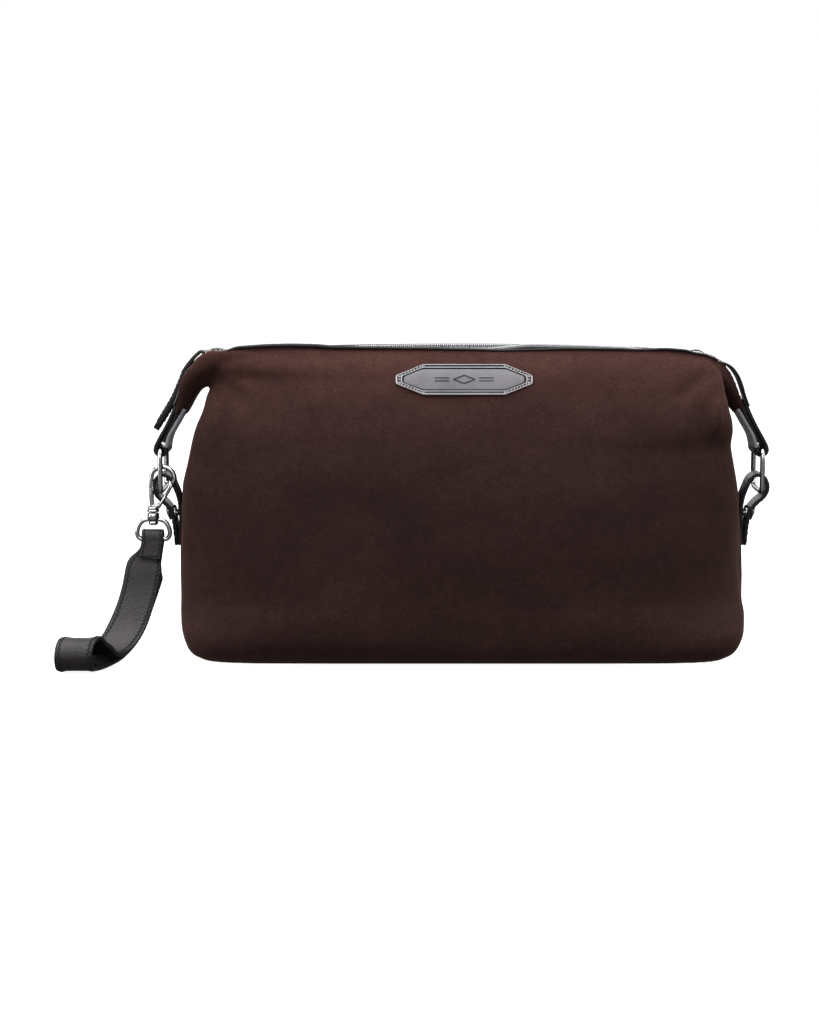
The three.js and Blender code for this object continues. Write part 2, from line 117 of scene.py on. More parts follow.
def make_camera():
    look_at = Vector((-25.1, 0.0, 68.0)) * MM
    distance = 1.1
    elevation = math.radians(8.0)
    data = bpy.data.cameras.new("camera")
    data.lens = 78.5
    camera = bpy.data.objects.new("camera", data)
    bpy.context.collection.objects.link(camera)
    camera.location = look_at + distance * Vector((0, -math.cos(elevation), math.sin(elevation)))
    camera.rotation_euler = (look_at - camera.location).to_track_quat("-Z", "Y").to_euler()
    bpy.context.scene.camera = camera


LIT_POINT = (0, 0, 0.07)


def area_light(name, at, size, power):
    data = bpy.data.lights.new(name, "AREA")
    data.shape = "RECTANGLE"
    data.size, data.size_y = size
    data.energy = power
    light = bpy.data.objects.new(name, data)
    bpy.context.collection.objects.link(light)
    light.visible_camera = False
    light.location = at
    light.rotation_euler = (Vector(LIT_POINT) - Vector(at)).to_track_quat("-Z", "Y").to_euler()


def make_world():
    """White where the camera looks past the bag, and a dim room with a pale ceiling elsewhere."""
    world = bpy.data.worlds.new("studio")
    world.use_nodes = True
    tree = world.node_tree
    room = tree.nodes["Background"]
    place = tree.nodes.new("ShaderNodeTexCoord")
    split = tree.nodes.new("ShaderNodeSeparateXYZ")
    tree.links.new(place.outputs["Generated"], split.inputs["Vector"])
    height = tree.nodes.new("ShaderNodeValToRGB")
    elements = height.color_ramp.elements
    elements[0].position = 0.0
    elements[0].color = (0.16, 0.16, 0.165, 1)
    elements[1].position = 0.8
    elements[1].color = (0.3, 0.3, 0.3, 1)
    tree.links.new(split.outputs["Z"], height.inputs["Fac"])
    tree.links.new(height.outputs["Color"], room.inputs["Color"])
    backdrop = tree.nodes.new("ShaderNodeBackground")
    backdrop.inputs["Color"].default_value = (1, 1, 1, 1)
    backdrop.inputs["Strength"].default_value = 1.0
    ray = tree.nodes.new("ShaderNodeLightPath")
    mix = tree.nodes.new("ShaderNodeMixShader")
    tree.links.new(ray.outputs["Is Camera Ray"], mix.inputs["Fac"])
    tree.links.new(room.outputs["Background"], mix.inputs[1])
    tree.links.new(backdrop.outputs["Background"], mix.inputs[2])
    tree.links.new(mix.outputs["Shader"], tree.nodes["World Output"].inputs["Surface"])
    bpy.context.scene.world = world


def make_floor():
    """A pale sheet that takes the bag's shadow and throws no light back on it."""
    reach = 6.0
    mesh = bpy.data.meshes.new("floor")
    mesh.from_pydata([(-reach, -reach, 0), (reach, -reach, 0), (reach, reach, 0),
                      (-reach, reach, 0)], [], [(0, 1, 2, 3)])
    floor = bpy.data.objects.new("floor", mesh)
    bpy.context.collection.objects.link(floor)
    paper = bpy.data.materials.new("paper")
    paper.use_nodes = True
    shader = paper.node_tree.nodes["Principled BSDF"]
    shader.inputs["Base Color"].default_value = (0.5, 0.5, 0.5, 1)
    shader.inputs["Roughness"].default_value = 1.0
    shader.inputs["Specular IOR Level"].default_value = 0.0
    shader.inputs["Emission Color"].default_value = (1, 1, 1, 1)
    shader.inputs["Emission Strength"].default_value = 0.92
    mesh.materials.append(paper)
    floor.visible_diffuse = False
    floor.visible_glossy = False


def make_studio():
    make_world()
    make_floor()
    area_light("top", (0.0, -0.1, 1.25), (2.4, 1.4), 38.0)
    area_light("front", (-0.1, -1.6, 0.62), (1.5, 0.8), 6.4)
    area_light("left", (-1.1, -0.35, 0.35), (0.3, 0.8), 5.0)
    area_light("back", (0.1, 1.5, 0.42), (2.2, 0.5), 7.0)
    area_light("right", (1.1, -0.3, 0.4), (0.25, 0.7), 2.6)
    bpy.context.scene.view_settings.view_transform = "Standard"


# ---- materials -------------------------------------------------------------------------------

class Shader:
    """A Principled material whose colour, roughness and bump come from procedural nodes."""

    def __init__(self, name, roughness=0.5, metallic=0.0):
        self.material = bpy.data.materials.new(name)
        self.material.use_nodes = True
        self.tree = self.material.node_tree
        self.principled = self.tree.nodes["Principled BSDF"]
        self.set("Roughness", roughness)
        self.set("Metallic", metallic)
        self.place = self.node("ShaderNodeTexCoord").outputs["Object"]

    def node(self, kind, **values):
        made = self.tree.nodes.new(kind)
        for key, value in values.items():
            setattr(made, key, value)
        return made

    def link(self, output, target):
        self.tree.links.new(output, target)

    def set(self, name, value):
        self.principled.inputs[name].default_value = value

    def noise(self, scale, detail=3.0, roughness=0.55, stretch=(1, 1, 1)):
        mapping = self.node("ShaderNodeMapping")
        mapping.inputs["Scale"].default_value = stretch
        self.link(self.place, mapping.inputs["Vector"])
        texture = self.node("ShaderNodeTexNoise")
        texture.inputs["Scale"].default_value = scale
        texture.inputs["Detail"].default_value = detail
        texture.inputs["Roughness"].default_value = roughness
        self.link(mapping.outputs["Vector"], texture.inputs["Vector"])
        return texture.outputs["Fac"]

    def cells(self, scale):
        texture = self.node("ShaderNodeTexVoronoi", feature="F1")
        texture.inputs["Scale"].default_value = scale
        self.link(self.place, texture.inputs["Vector"])
        return texture.outputs["Distance"]

    def painted_light_by_height(self):
        """Painted light by height: the suede is coloured lighter and redder towards the top, where
        light from above falls on it, darker at mid height and lighter again near the base.
        """
        split = self.node("ShaderNodeSeparateXYZ")
        self.link(self.place, split.inputs["Vector"])
        span = self.node("ShaderNodeMapRange")
        span.inputs["From Max"].default_value = 0.15
        self.link(split.outputs["Z"], span.inputs["Value"])
        return self.ramp(span.outputs["Result"],
                         [(0.0, (1.3, 1.3, 1.32)), (0.2, (1.05, 1.05, 1.07)), (0.5, (0.8, 0.8, 0.82)),
                          (0.7, (1.0, 0.98, 0.98)), (0.85, (1.5, 1.44, 1.38)), (1.0, (2.4, 2.2, 2.05))])

    def ramp(self, value, stops):
        ramp = self.node("ShaderNodeValToRGB")
        elements = ramp.color_ramp.elements
        while len(elements) < len(stops):
            elements.new(0.5)
        for element, (position, color) in zip(elements, stops):
            element.position = position
            element.color = (*color, 1)
        self.link(value, ramp.inputs["Fac"])
        return ramp.outputs["Color"]

    def mix(self, factor, a, b, blend="MIX"):
        mix = self.node("ShaderNodeMix", data_type="RGBA", blend_type=blend)
        mix.inputs["Factor"].default_value = factor
        self.link(a, mix.inputs["A"])
        self.link(b, mix.inputs["B"])
        return mix.outputs["Result"]

    def color(self, output):
        self.link(output, self.principled.inputs["Base Color"])

    def rough(self, value, low, high):
        span = self.node("ShaderNodeMapRange")
        span.inputs["To Min"].default_value = low
        span.inputs["To Max"].default_value = high
        self.link(value, span.inputs["Value"])
        self.link(span.outputs["Result"], self.principled.inputs["Roughness"])

    def bump(self, *layers):
        """layers are (height, strength, distance in millimetres), coarse first."""
        normal = None
        for height, strength, distance in layers:
            bump = self.node("ShaderNodeBump")
            bump.inputs["Strength"].default_value = strength
            bump.inputs["Distance"].default_value = distance * MM
            self.link(height, bump.inputs["Height"])
            if normal is not None:
                self.link(normal, bump.inputs["Normal"])
            normal = bump.outputs["Normal"]
        self.link(normal, self.principled.inputs["Normal"])


def make_suede():
    s = Shader("suede", 0.95)
    brushed = s.noise(30, 4, 0.6, (1, 1, 1.8))
    mottled = s.noise(210, 4, 0.65)
    fibres = s.noise(1300, 3, 0.75)
    wide = s.ramp(brushed, [(0.3, (0.034, 0.0165, 0.0152)), (0.7, (0.046, 0.0225, 0.0195))])
    middle = s.ramp(mottled, [(0.3, (0.72, 0.7, 0.7)), (0.7, (1.0, 1.0, 1.0))])
    fine = s.ramp(fibres, [(0.3, (0.45, 0.45, 0.46)), (0.62, (1.0, 1.0, 1.0)),
                           (0.78, (1.7, 1.6, 1.55))])
    tone = s.mix(0.8, s.mix(0.7, wide, middle, "MULTIPLY"), fine, "MULTIPLY")
    # the suede's colour is multiplied by painted light that changes with height
    s.color(s.mix(1.0, tone, s.painted_light_by_height(), "MULTIPLY"))
    s.bump((mottled, 0.25, 0.5), (fibres, 0.7, 0.3))
    s.set("Sheen Weight", 0.16)
    s.set("Sheen Roughness", 0.4)
    s.set("Sheen Tint", (0.7, 0.42, 0.34, 1))
    s.set("Specular IOR Level", 0.08)
    return s.material


def make_leather(name, dark, light, roughness, grain=1.0, shine=0.5):
    s = Shader(name, roughness)
    tone = s.noise(60, 3, 0.6)
    pores = s.cells(1100)
    creases = s.noise(420, 4, 0.6)
    s.color(s.ramp(tone, [(0.3, dark), (0.72, light)]))
    s.rough(creases, roughness - 0.1, roughness + 0.12)
    s.bump((creases, 0.3 * grain, 0.35), (pores, 0.4 * grain, 0.22))
    s.set("Specular IOR Level", shine)
    return s.material


def make_metal(name, tone, low, high):
    s = Shader(name, low, 1.0)
    smudges = s.noise(90, 3, 0.6)
    scratches = s.noise(500, 2, 0.6, (1, 1, 0.08))
    # painted reflection: the colour stays bright where the metal faces the viewer and falls to near
    # black at its grazing rims
    facing = s.node("ShaderNodeLayerWeight")
    facing.inputs["Blend"].default_value = 0.5
    painted_dark_rims = s.ramp(facing.outputs["Facing"], [(0.0, (1, 1, 1)), (0.25, (0.85, 0.85, 0.85)),
                                             (0.46, (0.1, 0.1, 0.1)), (1.0, (0.02, 0.02, 0.02))])
    smooth = s.ramp(smudges, [(0.3, tuple(c * 0.85 for c in tone)), (0.7, tone)])
    s.color(s.mix(1.0, smooth, painted_dark_rims, "MULTIPLY"))
    s.rough(smudges, low, high)
    s.bump((scratches, 0.04, 0.05))
    return s.material


def make_cloth(name, dark, light, threads):
    s = Shader(name, 0.85)
    weave = s.node("ShaderNodeTexWave", wave_type="BANDS", bands_direction="X")
    weave.inputs["Scale"].default_value = threads
    weave.inputs["Distortion"].default_value = 1.5
    s.link(s.place, weave.inputs["Vector"])
    cross = s.node("ShaderNodeTexWave", wave_type="BANDS", bands_direction="Z")
    cross.inputs["Scale"].default_value = threads
    s.link(s.place, cross.inputs["Vector"])
    both = s.mix(0.5, weave.outputs["Color"], cross.outputs["Color"])
    s.color(s.ramp(both, [(0.2, dark), (0.8, light)]))
    s.bump((both, 0.4, 0.15))
    return s.material


SUEDE_LOOK = make_suede()
TRIM = make_leather("trim_leather", (0.006, 0.0055, 0.0065), (0.014, 0.013, 0.0145), 0.42, 1.0, 0.3)
# the grey colour is painted light on black leather that catches light at a grazing angle; its gloss is
# real
BORDER = make_leather("border_leather_painted_light", (0.03, 0.03, 0.033), (0.06, 0.058, 0.063), 0.28, 0.7, 0.8)
# pale grey for the inner face of the black end tabs: a painted reflection
INNER = make_leather("tab_inner_painted_reflection", (0.14, 0.135, 0.15), (0.3, 0.29, 0.31), 0.3, 0.7)
STRAP = make_leather("strap_leather", (0.0095, 0.007, 0.0088), (0.023, 0.0175, 0.0215), 0.46, 1.6, 0.42)
EDGE = make_leather("edge_paint", (0.008, 0.0075, 0.008), (0.016, 0.015, 0.016), 0.35, 0.3, 0.3)
# pale grey for the patch's raised ridges and rope: a painted highlight
RIDGE = make_leather("patch_ridge_painted_highlight", (0.36, 0.35, 0.37), (0.5, 0.49, 0.51), 0.36, 0.4)
# near black for the strap's back faces: painted shade inside the loop
STRAP_BACK_SHADE = make_leather("strap_back_painted_shade", (0.0025, 0.002, 0.0022), (0.006, 0.005, 0.0055), 0.7, 1.0, 0.15)
GREY = make_leather("patch_leather", (0.145, 0.138, 0.152), (0.205, 0.197, 0.216), 0.42, 0.45)
# near black for the patch's walls and grooves as painted shade; the mark is drawn in it too
DARK = make_leather("patch_painted_shade_and_mark", (0.004, 0.004, 0.004), (0.012, 0.011, 0.012), 0.5)
NICKEL = make_metal("nickel", (0.86, 0.85, 0.85), 0.12, 0.22)
TEETH = make_metal("zip_metal", (0.85, 0.85, 0.87), 0.22, 0.35)
SLIDER = make_metal("slider_metal", (0.34, 0.34, 0.35), 0.25, 0.38)
TAPE = make_cloth("zip_tape", (0.004, 0.004, 0.004), (0.02, 0.02, 0.02), 900)
LINING = make_cloth("lining", (0.012, 0.01, 0.009), (0.04, 0.034, 0.03), 700)
BOARD = make_leather("board", (0.1, 0.07, 0.05), (0.2, 0.15, 0.1), 0.8)
THREAD = make_cloth("thread", (0.002, 0.0018, 0.002), (0.009, 0.008, 0.009), 1600)


# ---- mesh helpers ----------------------------------------------------------------------------

X_AXIS = Vector((1, 0, 0))
Y_AXIS = Vector((0, 1, 0))
SPLINE_STEPS = 24


def add_piece(name, shape, materials, body, replaces=(), pick=None, smooth=True):
    """Makes an object of shape = (points in millimetres, faces), on a body and a finish."""
    points, faces = shape
    mesh = bpy.data.meshes.new(name)
    mesh.from_pydata([Vector(p) * MM for p in points], [], faces)
    materials = materials if isinstance(materials, (list, tuple)) else [materials]
    for material in materials:
        mesh.materials.append(material)
    if pick:
        for polygon in mesh.polygons:
            polygon.material_index = pick(polygon.index)
    edit = bmesh.new()
    edit.from_mesh(mesh)
    bmesh.ops.recalc_face_normals(edit, faces=edit.faces)
    edit.to_mesh(mesh)
    edit.free()
    for polygon in mesh.polygons:
        polygon.use_smooth = smooth
    piece = bpy.data.objects.new(name, mesh)
    bpy.context.collection.objects.link(piece)
    if body:
        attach(piece, body)
    if replaces:
        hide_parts(*replaces)
    return piece


def joined(*shapes):
    points = []
    faces = []
    for more_points, more_faces in shapes:
        start = len(points)
        points.extend(more_points)
        faces.extend([tuple(i + start for i in face) for face in more_faces])
    return points, faces


def loft(rings, closed=False):
    """Skins a list of rings, each a closed loop of points. closed joins the last to the first."""
    size = len(rings[0])
    points = [p for ring in rings for p in ring]
    faces = []
    spans = len(rings) if closed else len(rings) - 1
    for i in range(spans):
        a = i * size
        b = ((i + 1) % len(rings)) * size
        for j in range(size):
            k = (j + 1) % size
            faces.append((a + j, a + k, b + k, b + j))
    if not closed:
        faces.append(tuple(range(size - 1, -1, -1)))
        faces.append(tuple(range(len(points) - size, len(points))))
    return points, faces


def hermite(start, end, leave, arrive, t):
    """The value at share t of a cubic from start to end, with the slopes that it has there."""
    return ((2 * t**3 - 3 * t**2 + 1) * start + (t**3 - 2 * t**2 + t) * leave
            + (3 * t**2 - 2 * t**3) * end + (t**3 - t**2) * arrive)


def running_lengths(points):
    """How far along a path each of its points lies."""
    lengths = [0.0]
    for a, b in zip(points, points[1:]):
        lengths.append(lengths[-1] + (b - a).length)
    return lengths


def spline(controls, count, closed=False):
    """count points, evenly spaced, on a smooth curve through the controls."""
    controls = [Vector(p) for p in controls]
    dense = []
    last = len(controls)
    spans = last if closed else last - 1
    for i in range(spans):
        if closed:
            p0, p1, p2, p3 = (controls[(i + k) % last] for k in (-1, 0, 1, 2))
        else:
            p1, p2 = controls[i], controls[i + 1]
            p0 = controls[i - 1] if i else p1 * 2 - p2
            p3 = controls[i + 2] if i + 2 < last else p2 * 2 - p1
        d0 = max((p1 - p0).length ** 0.5, 1e-4)
        d1 = max((p2 - p1).length ** 0.5, 1e-4)
        d2 = max((p3 - p2).length ** 0.5, 1e-4)
        m1 = (p1 - p0) / d0 - (p2 - p0) / (d0 + d1) + (p2 - p1) / d1
        m2 = (p2 - p1) / d1 - (p3 - p1) / (d1 + d2) + (p3 - p2) / d2
        m1 *= d1
        m2 *= d1
        for step in range(SPLINE_STEPS):
            dense.append(hermite(p1, p2, m1, m2, step / SPLINE_STEPS))
    dense.append(controls[0] if closed else controls[-1])
    lengths = running_lengths(dense)
    points = []
    j = 0
    steps = count if closed else count - 1
    for i in range(count):
        target = lengths[-1] * i / steps
        while j < len(lengths) - 2 and lengths[j + 1] < target:
            j += 1
        share = (target - lengths[j]) / max(lengths[j + 1] - lengths[j], 1e-9)
        points.append(dense[j].lerp(dense[j + 1], share))
    return points


def frames(path, across, closed=False):
    """(point, across, out) at each point of a path; across stays as near the given one as it can."""
    made = []
    for i, point in enumerate(path):
        before = path[i - 1] if (i or closed) else path[0]
        after = path[(i + 1) % len(path)] if (i + 1 < len(path) or closed) else path[-1]
        along = (after - before).normalized()
        side = (across - along * across.dot(along)).normalized()
        made.append((point, side, along.cross(side)))
    return made


def sweep(path, section, across, closed=False):
    """Sweeps section, a list of (u, v) or a function of the share along, on a path."""
    rings = []
    steps = len(path) - 1
    for i, (point, side, out) in enumerate(frames(path, across, closed)):
        outline = section(i / steps) if callable(section) else section
        rings.append([point + side * u + out * v for u, v in outline])
    return loft(rings, closed)


def oval(half_u, half_v, count):
    turn = 2 * math.pi / count
    return [(half_u * math.cos(i * turn), half_v * math.sin(i * turn)) for i in range(count)]


def circle(radius, count):
    return oval(radius, radius, count)


def strip(width, thick, notch=0.0):
    """The rounded section of a leather strip; a notch marks the line between its two layers."""
    w = width / 2
    t = thick / 2
    r = min(t * 0.8, 0.7)
    half = [(w - r * 1.6, t), (w - r * 0.6, t * 0.93), (w - r * 0.12, t * 0.6),
            (w - notch, 0.0), (w - r * 0.12, -t * 0.6), (w - r * 0.6, -t * 0.93),
            (w - r * 1.6, -t)]
    flat = [(w * 0.5, -t), (0.0, -t), (-w * 0.5, -t)]
    other = [(-u, v) for u, v in reversed(half)]
    top = [(-w * 0.5, t), (0.0, t), (w * 0.5, t)]
    return half + flat + other + top


STRIP_POINTS = 20
STRIP_EDGES = (0, 1, 2, 3, 4, 5, 10, 11, 12, 13, 14, 15)
# the back faces of a swept strip; the strap loop colours them with painted shade
STRIP_BACK = (6, 7, 8, 9)


def edge_pick(index):
    """Which faces of a swept strip are its painted edges."""
    return 1 if index % STRIP_POINTS in STRIP_EDGES else 0


def xz(points, side=1, y=0.0):
    return [(side * x, y, z) for x, z in points]


def lathe(profile, centre, axis, count):
    """Turns a profile of (radius, height) about an axis; it starts and ends on the axis."""
    axis = Vector(axis).normalized()
    first = axis.orthogonal().normalized()
    second = axis.cross(first)
    rings = []
    for radius, height in profile:
        radius = max(radius, 0.01)
        rings.append([Vector(centre) + axis * height
                      + (first * math.cos(a) + second * math.sin(a)) * radius
                      for a in (2 * math.pi * i / count for i in range(count))])
    return loft(rings)


def rounded_box(low, high, bevel, segments=2):
    edit = bmesh.new()
    bmesh.ops.create_cube(edit, size=1)
    size = Vector(high) - Vector(low)
    middle = (Vector(high) + Vector(low)) / 2
    for vertex in edit.verts:
        vertex.co = Vector(c * s for c, s in zip(vertex.co, size)) + middle
    bmesh.ops.bevel(edit, geom=list(edit.edges), offset=bevel, segments=segments,
                    affect="EDGES", profile=0.5)
    edit.verts.index_update()
    shape = [v.co.copy() for v in edit.verts], [tuple(v.index for v in f.verts) for f in edit.faces]
    edit.free()
    return shape


def capsule(a, b, radius):
    """A thread or ridge from a to b, fuller in its middle and round at its ends."""
    sides = 6
    along = (b - a).normalized()
    first = along.orthogonal().normalized()
    second = along.cross(first)
    rings = []
    for at, push, size in ((a, -radius * 0.8, 0.35), (a, 0, 0.95), ((a + b) / 2, 0, 1.1),
                           (b, 0, 0.95), (b, radius * 0.8, 0.35)):
        rings.append([at + along * push + (first * math.cos(t) + second * math.sin(t)) * radius * size
                      for t in (2 * math.pi * i / sides for i in range(sides))])
    return loft(rings)


def stitches(rail, pitch, length, radius, slant=0.0):
    """Thread along a rail of (point, outward normal): one stitch each pitch, sunk at its ends."""
    shapes = []
    lengths = running_lengths([point for point, _ in rail])

    def at(distance):
        i = 0
        while i < len(lengths) - 2 and lengths[i + 1] < distance:
            i += 1
        share = (distance - lengths[i]) / max(lengths[i + 1] - lengths[i], 1e-9)
        return rail[i][0].lerp(rail[i + 1][0], share), rail[i][1]

    count = int(lengths[-1] // pitch)
    for k in range(count):
        start = pitch * k + (pitch - length) / 2
        a, normal = at(start)
        b, _ = at(start + length)
        lean = (b - a).normalized().cross(normal) * slant
        shapes.append(capsule(a - lean, b + lean, radius))
    return joined(*shapes)


def add_sewing(name, lines, body, *stitch):
    """Sews trim leather along each line, with the pitch, length and radius of its stitches."""
    shape = joined(*[stitches(line, *stitch) for line in lines])
    return add_piece(name, shape, THREAD, body)


def rails(path, across, offset, lift):
    """The two stitch lines of a swept strip, offset from its middle and lifted off its middle."""
    sides = []
    for sign in (-1, 1):
        sides.append([(p + side * offset * sign + out * lift, out)
                      for p, side, out in frames(path, across)])
    return sides


# ---- body ------------------------------------------------------------------------------------

def body_level(z):
    """Half width and half depth at a height, on a smooth curve through the levels."""
    last = len(BODY_LEVELS) - 1
    i = 0
    while i < last - 1 and z > BODY_LEVELS[i + 1][0]:
        i += 1
    low = BODY_LEVELS[i]
    high = BODY_LEVELS[i + 1]
    before = BODY_LEVELS[max(i - 1, 0)]
    after = BODY_LEVELS[min(i + 2, last)]
    t = min(1.0, max(0.0, (z - low[0]) / (high[0] - low[0])))
    found = []
    for k in (1, 2):
        span = high[0] - low[0]
        m1 = (high[k] - before[k]) / (high[0] - before[0]) * span
        m2 = (after[k] - low[k]) / (after[0] - low[0]) * span
        found.append(hermite(low[k], high[k], m1, m2, t))
    return found


def zip_height(x):
    return ZIP_TOP - x * x / (2 * ZIP_RADIUS)


def smoothstep(value):
    t = min(1.0, max(0.0, value))
    return t * t * (3 - 2 * t)


def body_point(angle, z, inset=0.0):
    """A point on the bag's sides. Its section is squarer at the base and near the top edge."""
    half_x, half_y = body_level(z)
    c = math.cos(angle)
    s = math.sin(angle)
    squared = smoothstep((z - 100) / 28) if c > 0 else smoothstep((z - 135) / 10)
    power = 2 / (BODY_ROUND + (BASE_ROUND - BODY_ROUND) * smoothstep(1 - z / 40) ** 2
                 + TOP_SQUARE * squared)
    y = (half_y - inset) * math.copysign(abs(s) ** power, s)
    pinch = SIDE_PINCH * math.exp(-((y / PINCH_WIDTH) ** 2)) * smoothstep((140 - z) / 20)
    stand = eased(RIGHT_SET if c > 0 else LEFT_SET, z) * smoothstep((abs(y) - 8) / 10)
    x = (half_x + stand - inset - pinch) * math.copysign(abs(c) ** power, c)
    return Vector((x, y, z))


def body_ring(z, inset, count):
    return [body_point(2 * math.pi * i / count, z, inset) for i in range(count)]


def eased(table, place):
    """The value at a place, eased between the rows of a table of (place, value)."""
    for (low, a), (high, b) in zip(table, table[1:]):
        if place <= high:
            return a + (b - a) * smoothstep((place - low) / (high - low))
    return table[-1][1]


SAG_WIDE = 1.8
SAG_SMALL = 0.35


def sag(point, top):
    """How the soft suede gives: wide shallow dents and small ripples, none at its seams."""
    seed = 0.0 if point.y < 0 else 31.0
    wide = noise.noise(Vector((point.x / 62 + seed, point.y / 45, point.z / 48)))
    small = noise.noise(Vector((point.x / 19 + seed, point.y / 16 + 7, point.z / 21)))
    edge = smoothstep((top - point.z) / 16) * smoothstep((point.z - 1) / 12)
    side = smoothstep((abs(point.y) - 2) / 10)
    return (SAG_WIDE * wide + SAG_SMALL * small) * edge * side


# height of the front panel's top edge along the bag, out to its ends
EDGE_HALF = 113.0
FRONT_EDGE = [(-113, 148.2), (-107, 149.7), (-101, 150.2), (-92, 150.6), (-82, 150.7),
              (-72, 150.5), (-60, 149.8), (-40, 149.5), (-20, 149.3), (0, 148.9), (20, 148.4),
              (34, 148.7), (52, 149.2), (72, 149.0), (86, 148.6), (98, 149.0), (106, 148.5),
              (113, 146.9)]


def edge_height(x, front):
    """Height of a panel's bound top edge."""
    if not front:
        return zip_height(x) - 1.6 - 0.4 * smoothstep((abs(x) - 80) / 30)
    return eased(FRONT_EDGE, min(EDGE_HALF, max(-EDGE_HALF, x)))


# folds that run in the suede near its corners: ends in x and z, width and relative height
FOLD_DEPTH = 1.8
FOLDS = [
    ((-118, 137), (-104, 122), 3.6, -1.0), ((-113, 139), (-99, 128), 3.5, 0.7),
    ((-121, 128), (-117, 106), 3.2, 0.9), ((-114, 122), (-110, 100), 3.6, -0.8),
    ((-106, 118), (-98, 84), 6.5, 0.7), ((119, 138), (101, 126), 4.0, -0.9),
    ((123, 127), (121, 108), 2.8, 1.0), ((115, 127), (112, 104), 4.0, -0.9),
    ((107, 122), (103, 96), 6.0, 0.6), ((-134, 66), (-126, 40), 5.0, -0.7),
    ((133, 52), (128, 26), 5.0, -0.8), ((-30, 138), (-44, 120), 6.0, 0.4),
    ((62, 132), (78, 112), 7.0, -0.5),
]


def fold_height(point):
    height = 0.0
    for (x0, z0), (x1, z1), width, push in FOLDS:
        dx, dz = x1 - x0, z1 - z0
        share = ((point.x - x0) * dx + (point.z - z0) * dz) / (dx * dx + dz * dz)
        held = min(1.0, max(0.0, share))
        off = math.hypot(point.x - x0 - dx * held, point.z - z0 - dz * held)
        fade = smoothstep(1.15 - abs(share - 0.5) * 1.6)
        height += FOLD_DEPTH * push * math.exp(-((off / width) ** 2)) * fade
    return height


# how far the suede stands over its top edge, and more at the corners, before it is trimmed
EDGE_STAND = 2.2
CORNER_STAND = 1.4
# how far the sides' middles dip under the zip's ends
SIDE_DIP = 7.0


def body_shell():
    """The closed outer shape of the bag's body up to its bound edges."""
    around = 200
    low = 3.0
    foot = ((-0.6, 6.0), (-1.2, 3.0), (-0.8, 1.0), (0.4, 0.2))
    rings = [body_ring(z, inset, around) for z, inset in foot]
    rows = 60
    for row in range(rows + 1):
        share = row / rows
        ring = []
        for i in range(around):
            angle = 2 * math.pi * i / around
            guess = body_point(angle, 148)
            top = edge_height(guess.x, guess.y < 0) + EDGE_STAND
            top += CORNER_STAND * smoothstep((abs(guess.x) - 92) / 12)
            top -= SIDE_DIP * smoothstep((13.0 - abs(guess.y)) / 4)
            ring.append(body_point(angle, low + (top - low) * share))
        rings.append(ring)
    rim = rings[-1]
    for inset, drop in ((0.89, 0.4), (0.8, 4.8), (0.3, 6.5)):
        rings.append([Vector((p.x * (0.9 + 0.1 * inset), p.y * inset, p.z - drop))
                      for p in rim])
    return loft(rings)


def blend_together(shapes, voxel, passes):
    """Joins closed shapes into one skin, softened where they meet."""
    points, faces = joined(*shapes)
    mesh = bpy.data.meshes.new("blend")
    mesh.from_pydata([Vector(p) for p in points], [], faces)
    work = bpy.data.objects.new("blend", mesh)
    bpy.context.collection.objects.link(work)
    remesh = work.modifiers.new("skin", "REMESH")
    remesh.mode = "VOXEL"
    remesh.voxel_size = voxel
    soften = work.modifiers.new("soften", "SMOOTH")
    soften.factor = 0.5
    soften.iterations = passes
    graph = bpy.context.evaluated_depsgraph_get()
    skin = bpy.data.meshes.new_from_object(work.evaluated_get(graph))
    shape = ([v.co.copy() for v in skin.vertices], [tuple(f.vertices) for f in skin.polygons],
             [v.normal.copy() for v in skin.vertices])
    bpy.data.objects.remove(work)
    return shape


def half_of(points, faces, front):
    """The part of a skin on one side of the side seams, cut along y = 0."""
    edit = bmesh.new()
    made = [edit.verts.new(p) for p in points]
    for face in faces:
        edit.faces.new([made[i] for i in face])
    bmesh.ops.bisect_plane(edit, geom=list(edit.verts) + list(edit.edges) + list(edit.faces),
                           dist=0.001, plane_co=(0, 0, 0), plane_no=(0, 1 if front else -1, 0),
                           clear_outer=True)
    edit.verts.index_update()
    shape = ([v.co.copy() for v in edit.verts],
             [tuple(v.index for v in f.verts) for f in edit.faces])
    edit.free()
    return shape


SKIN_VOXEL = 1.3
SKIN_PASSES = 4
FLOOR_GAP = 0.35
# the suede is cut off just over its top edge, out to this far from the middle
TOP_GAP = 0.15
TRIMMED_HALF = 118.0


def add_suede():
    points, faces, normals = blend_together([body_shell(), ear(-1), ear(1)], SKIN_VOXEL, SKIN_PASSES)
    for point, normal in zip(points, normals):
        top = edge_height(point.x, point.y < 0)
        calm = 1 - smoothstep((abs(point.x) - 122) / 6) * smoothstep((point.z - 112) / 8)
        push = sag(point, top) * calm
        if abs(point.y) > 8:
            push += fold_height(point) * calm * smoothstep((top - point.z) / 9)
        point += normal * push
        point.z = max(point.z, FLOOR_GAP)
        if abs(point.x) < TRIMMED_HALF:
            point.z = min(point.z, top + TOP_GAP)
    for front, name, nodes in ((True, "front", ["front_panel", "left_ear", "right_ear"]),
                               (False, "back", ["back_panel"])):
        add_piece(f"suede_{name}", half_of(points, faces, front), SUEDE_LOOK, "bag", nodes)


